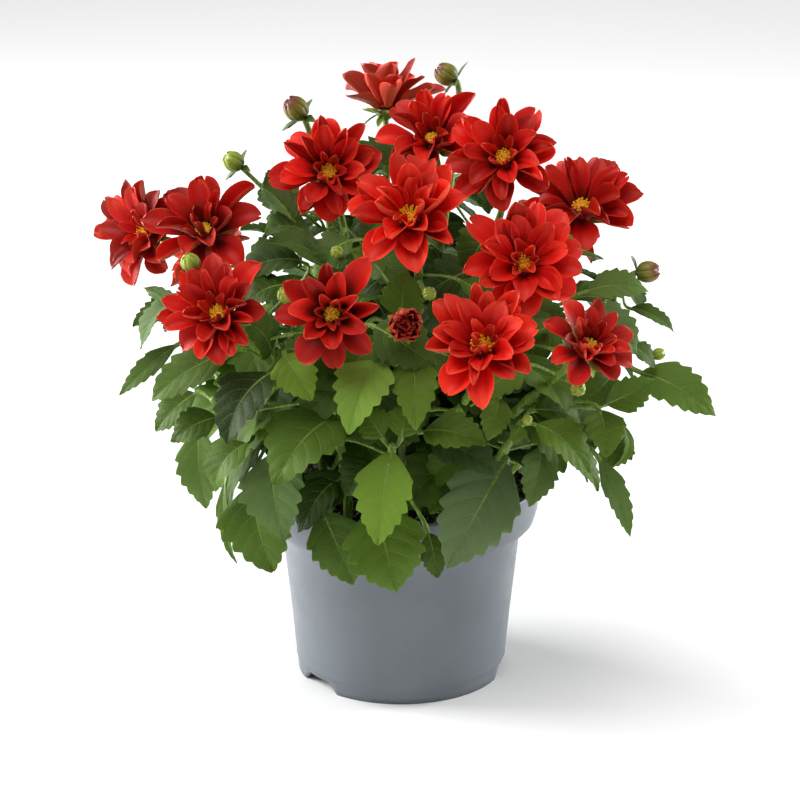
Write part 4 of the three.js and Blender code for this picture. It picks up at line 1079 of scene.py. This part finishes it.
def petal(growth, bloom, face, row, angle, shape, sizes):
    """One petal. Its shape is: length, width, cup, start tilt, end tilt, twist, how far the tip is
    drawn out, how far it curls, and where in its waves the ruffle starts.

    Its middle line is an arc in the plane through the bloom's axis, from the start tilt to the end
    tilt. Across it, the surface rises as a power of the distance from the middle, to the cup at the
    edge, with long ribs as a cosine across and a ruffle that grows with the cube of the distance.
    The outline is a table of half widths, and the tip is drawn out or notched in the middle. Short
    petals have less of ribs, ruffle and curl.
    """
    length, width, cup, start, end, twist, tip, curl, wave = shape
    u, s, uv = sheet_grid(PETAL_PLACES, 11)
    drawn = tip * (1 - s**2) - max(0.0, 0.04 - tip) * 1.6 * np.exp(-((s / 0.28) ** 2))
    w = u * (1 + drawn * u**8)
    bend = end - start
    tilt = start + bend * w
    small = min(1.0, length / 18)
    out = row.radius + length * (np.sin(tilt) - math.sin(start)) / bend
    height = row.height + length * (math.cos(start) - np.cos(tilt)) / bend
    along, up = face.slanted(angle, tilt)
    up = turned(up, along, twist * w + 0.1)
    across = np.cross(along, up)
    half = width / 2 * np.interp(u, *zip(*PETAL_OUTLINE))
    far = np.abs(s)
    rise = cup * half * far**1.8
    ribs = np.cos(3 * np.pi * s) * np.sin(np.pi * np.clip(u * 1.05, 0, 1)) ** 0.5
    ruffle = far**3 * np.sin(2 * np.pi * (1.6 * w + wave) + np.sign(s)) * w
    rise = rise + small * (sizes.ribs * ribs + sizes.ruffle * ruffle)
    rise = rise + curl * small * np.clip((w - 0.6) / 0.4, 0, None) ** 2
    top = face.at(out, angle, height) + across * (half * s)[..., None] + up * rise[..., None]
    # The petal's tone is a random tone from its waves plus the bloom's painted light and shade.
    growth.sheet(top, uv, sizes.thickness, wave * 2 - 1 + bloom.lighter, bloom.opened)


def petal_rows(growth, bloom, rows, seed, sizes, form_seed):
    """All petals of some rows. The draws for angle, length, tilt and twist come in the same order as
    in the CAD solids, so that each petal lies on its solid. Tip, curl and ruffle have their own."""
    face = bloom_face(bloom)
    reach, cup = bloom.reach, bloom.cup
    draw, own = draws(seed), np.random.default_rng(form_seed)
    bend_out = math.radians(bloom.bend)
    for row in rows:
        phase = 180 * draw()
        for i in range(row.petals):
            side = -1 if i % 2 else 1
            raised = (0 if row.petals % 2 else side * STAGGER) + cup * row.stands
            angle = math.radians(phase + 360 * i / row.petals + 2.5 * draw())
            length = row.length * reach * (1 + 0.07 * draw())
            start = math.radians(row.start + raised + 3 * draw())
            end = math.radians(row.end + raised + 6 * draw())
            twist = math.radians(6 * draw())
            upward = math.sin(angle) * face.rise[2]
            end -= math.radians(PETAL_SAG * row.sags * max(0.0, -upward))
            start += math.radians(PETAL_STAND * row.sags * max(0.0, upward))
            width = row.width * reach * (1 - cup / 100) * own.uniform(0.86, 1.14)
            hollow = row.cup * own.uniform(0.6, 1.4)
            if own.uniform(0, 1) < ROLLED_PART:
                width, hollow, start, end = width * 0.62, hollow + 0.9, start + 0.12, end + 0.25
            tip, curl, wave = own.uniform(-0.03, 0.09), own.uniform(-2.2, 2.6), own.uniform(0, 1)
            length = length * own.uniform(0.9, 1.08) * (1 - 0.12 * max(0.0, -upward))
            start, end = start + own.uniform(-0.08, 0.12), end + own.uniform(-0.2, 0.22) - bend_out
            angle, twist = angle + own.uniform(-0.13, 0.13), twist + own.uniform(-0.22, 0.22)
            shape = length, width, hollow, start, end, twist, tip, curl, wave
            petal(growth, bloom, face, row, angle, shape, sizes)
    return face


def round_body(growth, face, profile, sides, low, high, tone_and_shade):
    """A closed body: a profile of radius and height turned round a face's axis, with its end points at
    the low and the high height."""
    angle = turns(sides)
    rings = face.at(profile[:, :1], angle, profile[:, 1:] + 0 * angle)
    growth.rounds(rings[None], face.at(0, 0, low)[None], face.at(0, 0, high)[None], tone_and_shade)


def red_base(growth, face, radius, height):
    """The low red body that carries the petals: rings whose radius falls towards both ends."""
    rows = np.array([(0.7, 0.03), (1.0, 0.3), (0.96, 0.73), (0.7, 1.0)])
    round_body(growth, face, rows * [radius, height], 16, 0.0, height, -1.0)


def floret_head(growth, face, count, opened, seed):
    """The disc of florets.

    Florets stand on a low dome, each a golden angle further round and its distance growing with
    the square root of its number. Each is a small tube that leans outward and widens to its mouth,
    and the outer ones of an open disc are long.
    """
    base = CORE_HEIGHT + 0.15
    part = np.array([(1.0, 0.05), (0.98, 0.3), (0.8, 0.62), (0.5, 0.8)])
    dome = [0, base] + [DISC_RADIUS * 0.93, 2.3] * part
    round_body(growth, face, dome, 14, base, base + 2.1, opened)
    rng = np.random.default_rng(seed)
    k = np.arange(count)
    part = np.sqrt((k + 0.5) / count)
    turn = k * GOLDEN_ANGLE + rng.uniform(-0.12, 0.12, count)
    root = face.at(DISC_RADIUS * 0.9 * part, turn, base + 1.9 - 1.3 * part**2)
    away = np.cos(turn)[:, None] * face.side + np.sin(turn)[:, None] * face.rise
    lean = (0.15 + 0.75 * opened * part + 0.25 * part)[:, None]
    way = unit(face.out + lean * away + 0.12 * rng.normal(size=(count, 3)))
    across = unit(np.cross(way, face.rise + 0.3 * face.side))
    other = np.cross(way, across)
    length = 0.9 + 0.5 * part + opened**2 * part**2 * rng.uniform(1.0, 4.2, count)
    length = length[:, None, None, None]
    wide = 0.44 * rng.uniform(0.85, 1.15, (count, 1, 1, 1))
    around = turns(6)[:, None]
    rows = np.array([(0.0, 0.8), (0.35, 0.75), (0.7, 1.0), (0.92, 1.25), (1.0, 0.7)])
    ring = np.cos(around) * across[:, None, None] + np.sin(around) * other[:, None, None]
    rings = root[:, None, None] + length * rows[:, :1, None] * way[:, None, None]
    rings = rings + wide * rows[:, 1:, None] * ring
    ends = root - 0.2 * way, root + length[:, 0, 0] * 0.9 * way
    growth.rounds(rings, *ends, tone_and_shade=0.25 + 0.6 * part + 0.5 * opened)


class DAHLIA_OT_blooms(bpy.types.Operator):
    """Makes the open blooms: rows of red petals and a disc of florets each"""

    bl_idname = "dahlia.blooms"
    bl_label = "Blooms"

    def execute(self, context):
        """Each bloom has its petals and its florets as two pieces."""
        sizes = context.scene.dahlia_bloom
        red = shared("petal_velvet", petal_tissue, sizes, 0.0)
        gold = shared("floret_waxy", floret_tissue, sizes)
        for index, (number, bloom) in enumerate(sorted(BLOOMS.items())):
            growth = Growth()
            inner = [INNER_ROWS[k] for k in bloom.inner]
            face = petal_rows(growth, bloom, PETAL_ROWS, OUTER_SEED + index, sizes, FORM_SEED + index)
            petal_rows(growth, bloom, inner, INNER_SEED + index, sizes, INNER_FORM_SEED + index)
            red_base(growth, face, 6.2, CORE_HEIGHT)
            growth.piece(f"bloom_{number}_petals_fine", red, "petals", f"bloom_{number}_petals")
            growth = Growth()
            floret_head(growth, face, sizes.florets, bloom.opened, FLORET_SEED + index)
            growth.piece(f"bloom_{number}_florets", gold, "disc", f"bloom_{number}_disc")
        return {"FINISHED"}


class DAHLIA_OT_half_open(bpy.types.Operator):
    """Makes the half-open bloom with its rolled dark petals"""

    bl_idname = "dahlia.half_open"
    bl_label = "Half-open bloom"

    def execute(self, context):
        """One outer and three inner rows of strongly cupped petals close over the middle."""
        sizes = context.scene.dahlia_bloom
        growth = Growth()
        face = petal_rows(growth, HALF_OPEN, ROLLED_ROWS, 7, sizes, form_seed=31)
        petal_rows(growth, HALF_OPEN, ROLLED_INNER, 8, sizes, form_seed=32)
        red_base(growth, face, 4.6, 1.2)
        dark = shared("petal_rolled", petal_tissue, sizes, 0.35)
        growth.piece("half_open_petals_fine", dark, "dark_petals", "half_open_petals")
        return {"FINISHED"}


def carried(stem):
    """The bloom that a stem carries."""
    return HALF_OPEN if stem["bloom"] == "half_open" else BLOOMS[stem["bloom"]]


def stem_controls(stem):
    """The four control points of a stem's curve: up out of the soil, then over to what it carries."""
    foot = np.array([*stem["root"], SOIL_TOP], float)
    if "bloom" in stem:
        face = bloom_face(carried(stem))
        end, out = face.at(0, 0, STEM_END), face.out
    elif "bud" in stem:
        middle, azimuth, lift, radius = stem["bud"]
        out = facing(azimuth, lift)
        end = np.array(middle) - out * radius
    else:
        end = np.array(stem["tip"], float)
        out = unit(end - foot)
    pull = BUD_NECK if "bud" in stem else np.linalg.norm(end - foot) * STEM_PULL
    return [foot, foot + UP * stem["rise"], end - out * pull, end]


def plane_normal(controls):
    """A level direction square to the plane that a curve runs in."""
    ahead = controls[-1] - controls[0]
    return unit(np.array([-ahead[1], ahead[0], 0.001]))


def stalk(growth, controls, places):
    """A stem: a ribbed round tube along its curve, thinner upward, thicker at each leaf joint."""
    t = np.linspace(0, 1, 34)
    path = np.concatenate([[controls[0] - UP * STEM_FOOT_DEPTH], bezier(controls, t)])
    t = np.append(0.0, t)
    radius = STEM_FOOT_RADIUS + (STEM_TIP_RADIUS - STEM_FOOT_RADIUS) * t
    for place in places:
        radius = radius * (1 + 0.22 * np.exp(-(((t - place) / 0.02) ** 2)))
    growth.tube(path, plane_normal(controls), radius, radius, 15, ribs=0.05)


# How far along the blade the first side vein reaches the edge.
VEIN_RISE = 0.3
LEAF_OUTLINE = [
    (0, 0.0), (0.1, 0.36), (0.2, 0.7), (0.3, 0.92), (0.37, 0.99), (0.44, 1.0), (0.54, 0.95),
    (0.64, 0.84), (0.74, 0.68), (0.84, 0.47), (0.92, 0.26), (1.0, 0.03),
]
# Half widths of a leaf stalk and midrib from the stem to the tip, across the blade and through it.
STALK_WIDE = np.concatenate([[1.3, 1.0, 0.9, 0.9, 0.95, 1.05, 1.25, 1.5], np.linspace(1.5, 0.25, 14)])
STALK_DEEP = np.concatenate([[1.0, 0.85, 0.8, 0.75, 0.75, 0.7, 0.7, 0.65], np.linspace(0.6, 0.2, 14)])


def leaf(blades, stalks, controls, row, tone_and_shade, age, sizes, seed):
    """One leaf: its blade, and one tube for its stalk and midrib.

    The blade's rows start at the midrib and run forward to the edge, as its side veins do, and its
    half width at the edge comes from a table. Each tooth widens the edge slowly and then drops. The
    two halves fold up from the midrib, bulge between the veins and wave at the edge.
    """
    place, base, tip, width, bow, turn = row
    rng = np.random.default_rng(seed)
    start, base, tip = bezier(controls, place), np.array(base, float), np.array(tip, float)
    ahead = unit(tip - base)
    outward = unit(np.array([base[0] + tip[0], base[1] + tip[1], 0.0]))
    across = unit(np.cross(ahead, 0.62 * outward + 0.78 * UP))
    across = turned(across, ahead, np.float64(math.radians(turn)))
    lifted = unit(np.cross(across, ahead))
    knee = (base + tip) / 2 + lifted * 2 * bow
    blade = [base, knee, tip]
    reach = np.linalg.norm(start - base) / 3
    stem = [start, start + unit(base - start) * reach, base - unit(knee - base) * reach, base]
    length = np.linalg.norm(tip - base)
    t, s, uv = sheet_grid(np.linspace(0, 1, 5 * sizes.teeth + 1), 11)
    far = np.abs(s)
    edge = 1 - (1 - VEIN_RISE) * (1 - t) ** 1.45
    y = t + far**1.35 * (edge - t)
    step = np.round(5 * sizes.teeth * t + np.where(s < 0, 2, 0) + rng.integers(0, 3)) % 5 / 5
    cut = np.where(step < 0.8, (1 - step / 0.8) ** 1.3, (step - 0.8) / 0.2)
    grown = np.clip(t / 0.12, 0, 1) * np.clip((1.02 - t) / 0.25, 0, 1)
    depth = sizes.tooth_depth * grown * far**2
    half = width / 2 * 1.06 * np.interp(edge, *zip(*LEAF_OUTLINE))
    x = s * half * (1 - depth * cut)
    rise = sizes.fold * np.abs(x) * (1.1 - 0.3 * far)
    bulge = sizes.quilt * min(1.0, width / 32)
    rise = rise + bulge * np.abs(np.sin(np.pi * sizes.teeth * t)) * (4 * far * (1 - far)) ** 0.7
    wave = rng.uniform(0, 6.3, 2)
    rise = rise + 0.035 * width * far**2 * np.sin(11 * y + np.where(s > 0, wave[0], wave[1]))
    sag = 0.04 * length * np.sin(3 * y + wave[0]) * y * (1 - y)
    along = bezier_way(blade, np.clip(y, 0, 1))
    up = unit(np.cross(across, along))
    top = bezier(blade, y) + across * x[..., None] + up * (rise + sag)[..., None]
    blades.sheet(top, uv, sizes.thickness, tone_and_shade, age)
    q = np.linspace(0.03, 0.94, 14)
    spine = bezier(blade, q) - unit(np.cross(across, bezier_way(blade, q))) * 0.35
    spine = spine + lifted * (0.04 * length * np.sin(3 * q + wave[0]) * q * (1 - q))[:, None]
    path = np.concatenate([bezier(stem, np.linspace(0, 1, 9)[:-1]), spine])
    scale = 0.65 + 0.35 * min(width / 30, 1.2)
    stalks.tube(path, across, STALK_WIDE * scale, STALK_DEEP * scale, 8)


def pair_row(controls, pair):
    """The leaf row of a leaf given by place, azimuth, length, width and droop below level."""
    place, azimuth, length, width, droop = pair
    away, dip = facing(azimuth, 0), math.radians(droop)
    base = bezier(controls, place) + away * 9 + UP * 8
    tip = base + away * length * math.cos(dip) - UP * length * math.sin(dip)
    return place, base, tip, width, length / 8, 0


BRACT_THICKNESS = 0.4
BRACT_OUTLINE = [(0, 0.5), (0.2, 0.75), (0.45, 1.0), (0.65, 0.92), (0.85, 0.55), (1.0, 0.08)]


def bract(growth, face, angle, radius, height, length, width, tilt, droop, tone_and_shade):
    """A narrow green bract: a straight line at a tilt that droops with the square of the way along,
    with its edges a little lifted."""
    u, s, uv = sheet_grid(np.linspace(0, 1, 7), 5)
    along, up = face.slanted(angle, tilt)
    half = width / 2 * np.interp(u, *zip(*BRACT_OUTLINE))
    rise = 0.25 * half * s**2 - droop * length * u**2
    top = face.at(radius, angle, height) + along * (length * u)[..., None]
    top = top + np.cross(along, up) * (half * s)[..., None] + up * rise[..., None]
    growth.sheet(top, uv, BRACT_THICKNESS, tone_and_shade)


SCALE_OUTLINE = [(0, 0.7), (0.3, 0.95), (0.6, 1.0), (0.8, 0.9), (0.93, 0.5), (1.0, 0.08)]


def calyx(growth, face, size):
    """The green cup under a bloom, eight thin bracts against the petals and five narrow outer ones."""
    cup = np.array([(1.5, -4.6), (2.6, -4.0), (4.2, -3.0), (5.2, -1.6), (5.0, -0.5)])
    round_body(growth, face, cup * [size, 1], 14, -5.0, -0.4, -0.6)
    for k in range(8):
        bract(growth, face, k * np.pi / 4 + 0.2, 4.4 * size, -1.4, 7.5 * size, 5.0 * size, 0.2, -0.06, -0.1)
    for k in range(5):
        around = 2 * np.pi * (k + 0.5) / 5 - np.pi
        bract(growth, face, around, 4.0 * size, -2.2, 8.6 * size, 3.6 * size, -0.45, 0.2, -0.5)


def bud(growth, middle, azimuth, lift, radius, ripeness):
    """A closed bud: a round head with eight lobes, eight scales that hug it, and outer bracts if it is
    not a small one.

    The head's radius falls off as the square root of one less a power of the way along its axis. A
    scale lies close round the head, from near the stalk to near the top, widest in its middle. Three
    of the outer bracts are long and two are short.
    """
    face = Face(middle, facing(azimuth, lift))
    angle = turns(24)
    along = np.linspace(-0.93, 0.96, 10)[:, None]
    lobes = 1 + 0.035 * np.cos(8 * angle + 2 * along)
    wide = 0.93 * radius * np.sqrt(1 - np.abs(along) ** 2.6) * lobes
    rings = face.at(wide, angle, radius * along + 0 * angle)
    ends = face.at(0, 0, -radius)[None], face.at(0, 0, radius * 0.9)[None]
    growth.rounds(rings[None], *ends, tone_and_shade=ripeness)
    u, s, uv = sheet_grid(np.linspace(0, 1, 10), 5)
    half = 0.46 * np.interp(u, *zip(*SCALE_OUTLINE))
    for k in range(8):
        dip = 2.85 - (2.42 + 0.12 * (k % 3)) * u
        ball = radius * (0.96 + 0.05 * (k % 2) + 0.13 * u**5 - 0.05 * s**2)
        top = face.at(ball * np.sin(dip), 2 * np.pi * k / 8 - half * s, ball * 1.04 * np.cos(dip))
        growth.sheet(top, uv, 0.05 * radius, ripeness)
    if radius > SMALL_BUD:
        for k in range(5):
            around = 2 * np.pi * (k + 0.5) / 3 - np.pi if k < 3 else 2 * np.pi * (k - 3) / 3 - 2.0
            size = radius * (1.75 if k < 3 else 1.2)
            bract(growth, face, around, 0.42 * radius, -0.95 * radius, size, 0.62 * radius, 0.17, 0.2, -1.0)


def twig(growth, start, middle, azimuth, lift, radius):
    """The short stalk of a side bud: a curve that leaves the stem upward and meets the bud's axis."""
    out = facing(azimuth, lift)
    end = np.array(middle) - out * radius * 0.8
    pull = min(np.linalg.norm(end - start) / 3, BUD_NECK)
    controls = [start, start + unit(unit(end - start) + UP) * pull, end - out * pull, end]
    t = np.linspace(0, 1, 16)
    growth.tube(bezier(controls, t), plane_normal(controls), 1.25 - 0.25 * t, 1.25 - 0.25 * t, 9)


# Space that leaves by rule may fill: height, and distance from the pot's axis.
ENVELOPE = [
    (60, 84), (75, 92), (110, 104), (150, 110), (175, 106), (200, 92), (220, 76), (240, 56), (262, 34),
]
# Leaves by rule keep off the pot. Below the rim's height they are further from the axis than its
# radius. In front, which is forward of a depth and over a half width, they end above a height. No
# leaf hangs lower than the lowest height.
RIM_HEIGHT, RIM_RADIUS = 97, 70
FRONT_HEIGHT, FRONT_BACK, FRONT_HALF = 93, -20, 62
LOWEST = 62
# Every point on a leaf by rule is clear of what may not be covered from this far behind it to this
# far in front. Two leaves are too close when their middles are nearer than this part of their two
# lengths together.
CLEAR_BEHIND, CLEAR_AHEAD = -2.0, 120
CROWDING = 0.17
# Leaves by rule: the distance between pairs, where the first pair grows and over how much of the stem
# they are spread, the length at the foot of the stem and how much shorter it is at the end, the angle
# from one stem's first pair to the next stem's, and how often a place is tried.
PAIR_SPACING = 13
PAIRS_FROM, PAIRS_OVER = 0.16, 0.74
RULE_LENGTH, RULE_SHORTER = 56, 30
STEM_TURN = 77
TRIES = 5
# Where the camera stands, and the places on the soil that it has to see, each with a radius.
EYE = np.array([-0.486, -1096.25, 488.08])
SOIL_SEEN = [((60.0, -30.0, 95.0), 13.0), ((50.0, -30.0, 92.0), 9.0)]


def kept_clear():
    """What leaves by rule may not cover: middles, the two ways each is looked at from, and radii.

    Each bloom, bud and placed leaf is kept clear both towards the camera and the way it faces.
    """
    clear = [(b.middle, facing(b.azimuth, b.lift), b.reach + 1.0) for b in [*BLOOMS.values(), HALF_OPEN]]
    clear += [(middle, unit(EYE - np.array(middle)), radius) for middle, radius in SOIL_SEEN]
    for number, stem in enumerate(STEMS, 1):
        buds = [row[1:] for row in stem.get("buds", [])] + ([stem["bud"]] if "bud" in stem else [])
        clear += [(middle, facing(azimuth, lift), radius + 3.0) for middle, azimuth, lift, radius in buds]
        for row in stem["leaves"] + MORE_LEAVES.get(number, []):
            base, tip = np.array(row[1], float), np.array(row[2], float)
            for part in (0.3, 0.65):
                middle = base + (tip - base) * part
                clear.append((middle, unit(EYE - middle), row[3] * 0.45))
    middles, ways, radii = (np.array(column, float) for column in zip(*clear))
    ahead = unit(EYE - middles)
    return np.concatenate([middles] * 2), np.concatenate([ways, ahead]), np.concatenate([radii] * 2)


def leaf_fits(base, tip, width, clear, others):
    """Whether a leaf by rule has room: inside the envelope, outside the pot, clear of what may not be
    covered, and not on top of another leaf."""
    ahead = tip - base
    across = unit(np.cross(ahead, UP)) * width * 0.45
    points = base + np.array([0.0, 0.25, 0.5, 0.75, 1.0])[:, None] * ahead
    points = np.concatenate([points, points[1:3] + across, points[1:3] - across])
    far, height = np.hypot(points[:, 0], points[:, 1]), points[:, 2]
    if (far > np.interp(height, *zip(*ENVELOPE))).any():
        return False
    if ((height < RIM_HEIGHT) & (far < RIM_RADIUS)).any() or (height < LOWEST).any():
        return False
    in_front = (points[:, 1] < FRONT_BACK) & (np.abs(points[:, 0]) < FRONT_HALF)
    if ((height < FRONT_HEIGHT) & in_front).any():
        return False
    middles, ways, radii = clear
    off = points[:, None] - middles
    ahead_of = (off * ways).sum(-1)
    beside = np.linalg.norm(off - ahead_of[..., None] * ways, axis=-1)
    if ((ahead_of > CLEAR_BEHIND) & (ahead_of < CLEAR_AHEAD) & (beside < radii)).any():
        return False
    centre = base + 0.45 * ahead
    length = np.linalg.norm(ahead)
    return all(np.linalg.norm(centre - c) > CROWDING * (length + size) for c, size in others)


def rows_by_rule(controls, number, clear, others):
    """Leaf rows that a stem grows by rule: opposite pairs, each pair a quarter turn from the last,
    smaller and less drooping up the stem, wherever they have room."""
    rng = np.random.default_rng(RULE_SEED + number)
    length = np.linalg.norm(np.diff(bezier(controls, np.linspace(0, 1, 20)), axis=0), axis=1).sum()
    count = max(3, int(length / PAIR_SPACING))
    rows = []
    for k in range(count):
        place = PAIRS_FROM + PAIRS_OVER * (k + 0.5) / count + 0.03 * rng.uniform(-1, 1)
        for side in (0, 180):
            azimuth = STEM_TURN * number + 90 * k + side + 22 * rng.uniform(-1, 1)
            for _ in range(TRIES):
                long = (RULE_LENGTH - RULE_SHORTER * place) * rng.uniform(0.8, 1.2)
                droop = math.radians(rng.uniform(12, 58) - 12 * place)
                away = facing(azimuth, 0)
                base = bezier(controls, place) + away * rng.uniform(9, 24) + UP * rng.uniform(0, 9)
                tip = base + away * long * math.cos(droop) - UP * long * math.sin(droop)
                width = long * rng.uniform(0.62, 0.8)
                if leaf_fits(base, tip, width, clear, others):
                    rows.append((place, base, tip, width, long / 9, rng.uniform(-14, 14)))
                    others.append((base + 0.45 * (tip - base), long))
                    break
                azimuth += 31 * rng.uniform(-1, 1)
    return rows


class DAHLIA_OT_stems(bpy.types.Operator):
    """Makes the leafy stems: stalks, leaf blades, bracts and buds"""

    bl_idname = "dahlia.stems"
    bl_label = "Leafy stems"

    def execute(self, context):
        """Each stem becomes three pieces: its stalks, its leaf blades, and its bracts and buds."""
        sizes = context.scene.dahlia_leaf
        stem_green = shared("stem_juicy", stem_tissue)
        leaf_green = shared("leaf_cuticle", leaf_tissue, sizes)
        bract_green = shared("bract_smooth", bract_tissue)
        clear = kept_clear()
        curves = [stem_controls(stem) for stem in STEMS]
        placed = []
        for number, (stem, curve) in enumerate(zip(STEMS, curves), 1):
            pairs = [pair_row(curve, pair) for pair in stem.get("pairs", [])]
            placed.append(stem["leaves"] + MORE_LEAVES.get(number, []) + pairs)
        others = [
            (np.add(row[1], row[2]) / 2, np.linalg.norm(np.subtract(row[1], row[2])))
            for rows in placed for row in rows
        ]
        for index, stem in enumerate(STEMS):
            stalks, blades, greens = Growth(), Growth(), Growth()
            controls = curves[index]
            rng = np.random.default_rng(TONE_SEED + index)
            rows = placed[index] + rows_by_rule(controls, index, clear, others)
            stalk(stalks, controls, [row[0] for row in rows])
            for number, row in enumerate(rows):
                # Painted shade: a leaf without a tone of its own is darker the nearer its middle is to the
                # axis, down to nearly black deep in the foliage.
                inside = max(0.0, 1 - np.hypot(*(np.add(row[1], row[2]) / 2)[:2]) / 80)
                tone_and_shade = row[6] if len(row) > 6 else rng.uniform(-0.45, 0.45) - 1.2 * inside
                age = row[7] if len(row) > 7 else max(0.0, rng.uniform(-0.6, 0.6) * (1 - row[0]))
                seed = LEAF_SEED + 40 * index + number
                leaf(blades, stalks, controls, row[:6], tone_and_shade, age, sizes, seed)
            if "bloom" in stem:
                half = stem["bloom"] == "half_open"
                calyx(greens, bloom_face(carried(stem)), 0.7 if half else 1.0)
            for row in stem.get("buds", []):
                twig(stalks, bezier(controls, row[0]), *row[1:])
                bud(greens, *row[1:], 0.4)
            if "bud" in stem:
                bud(greens, *stem["bud"], 1.0)
            name = f"stem_{index + 1:02d}"
            stalks.piece(f"{name}_stalks", stem_green, "foliage", name)
            blades.piece(f"{name}_blades", leaf_green, "foliage", name)
            if greens.count:
                greens.piece(f"{name}_bracts", bract_green, "foliage", name)
        return {"FINISHED"}


class DAHLIA_OT_stage(bpy.types.Operator):
    """Makes the plain pale floor, the studio lights and the camera"""

    bl_idname = "dahlia.stage"
    bl_label = "Stage"

    def execute(self, context):
        """The floor is a square at height 0. Large soft lights stand left, right and overhead."""
        sizes = context.scene.dahlia_stage
        scene = context.scene
        half = sizes.floor / 2
        corners = [(-half, -half, 0), (half, -half, 0), (half, half, 0), (-half, half, 0)]
        mesh = bpy.data.meshes.new("floor")
        mesh.from_pydata(corners, [], [(0, 1, 2, 3)])
        floor = bpy.data.objects.new("floor", mesh)
        scene.collection.objects.link(floor)
        paper = {"Base Color": linear("#fafafa"), "Roughness": 0.9}
        mesh.materials.append(finish_material(bare_material("floor_paper"), paper))
        lights = (
            ("key", "AREA", sizes.key, dict(size=1.0), (-1.3, 0.42, 0.5)),
            ("fill", "AREA", sizes.fill, dict(size=0.7), (1.3, 0.45, 0.45)),
            ("top", "SUN", sizes.top, dict(angle=math.radians(50)), (-0.35, -0.45, 1.45)),
        )
        target = np.array([0, 0, 0.16])
        for name, kind, power, shape, place in lights:
            lamp = bpy.data.lights.new(name, kind)
            lamp.energy = power
            for setting, value in shape.items():
                setattr(lamp, setting, value)
            made = bpy.data.objects.new(name, lamp)
            way = unit(target - np.array(place))
            made.location = place
            made.rotation_euler = (math.acos(-way[2]), 0, math.atan2(-way[0], way[1]))
            scene.collection.objects.link(made)
        world = bpy.data.worlds.new("soft_room")
        world.use_nodes = True
        colour, strength = world.node_tree.nodes["Background"].inputs[:2]
        colour.default_value, strength.default_value = (1, 1, 1, 1), sizes.sky
        scene.world = world
        eye = bpy.data.cameras.new("camera")
        eye.lens, eye.sensor_width, eye.clip_start = sizes.lens, 36.0, 0.05
        camera = bpy.data.objects.new("camera", eye)
        camera.location = (EYE[0] * MM, -sizes.camera_back, sizes.camera_height)
        camera.rotation_euler = (math.pi / 2 - sizes.camera_dip, 0, 0)
        scene.collection.objects.link(camera)
        scene.camera = camera
        scene.view_settings.view_transform = "Standard"
        return {"FINISHED"}


class DAHLIA_PT_pieces(bpy.types.Panel):
    """Lists the settings and the operators that make the pieces"""

    bl_label = "Potted dahlia"
    bl_idname = "DAHLIA_PT_pieces"
    bl_space_type = "VIEW_3D"
    bl_region_type = "UI"
    bl_category = "Dahlia"

    def draw(self, context):
        """One box for each kind of piece: its settings, then its button."""
        for group, operators in PANEL_ROWS:
            box = self.layout.box()
            settings = getattr(context.scene, group)
            for name in type(settings).__annotations__:
                box.prop(settings, name)
            for operator in operators:
                box.operator(operator)


PANEL_ROWS = (
    ("dahlia_pot", ("dahlia.pot",)),
    ("dahlia_soil", ("dahlia.soil",)),
    ("dahlia_bloom", ("dahlia.blooms", "dahlia.half_open")),
    ("dahlia_leaf", ("dahlia.stems",)),
    ("dahlia_stage", ("dahlia.stage",)),
)
GROUPS = {
    "dahlia_pot": PotSettings,
    "dahlia_soil": SoilSettings,
    "dahlia_bloom": BloomSettings,
    "dahlia_leaf": LeafSettings,
    "dahlia_stage": StageSettings,
}
CLASSES = (
    DAHLIA_OT_pot, DAHLIA_OT_soil, DAHLIA_OT_blooms, DAHLIA_OT_half_open, DAHLIA_OT_stems,
    DAHLIA_OT_stage, DAHLIA_PT_pieces,
)


def register():
    """Registers the settings, the operators and the panel."""
    for name, group in GROUPS.items():
        bpy.utils.register_class(group)
        setattr(bpy.types.Scene, name, PointerProperty(type=group))
    for each in CLASSES:
        bpy.utils.register_class(each)


def unregister():
    """Takes the panel, the operators and the settings away again."""
    for each in reversed(CLASSES):
        bpy.utils.unregister_class(each)
    for name, group in reversed(GROUPS.items()):
        delattr(bpy.types.Scene, name)
        bpy.utils.unregister_class(group)


def main():
    register()
    bpy.ops.dahlia.stage()
    bpy.ops.dahlia.pot()
    bpy.ops.dahlia.soil()
    bpy.ops.dahlia.blooms()
    bpy.ops.dahlia.half_open()
    bpy.ops.dahlia.stems()


if __name__ == "__main__":
    main()
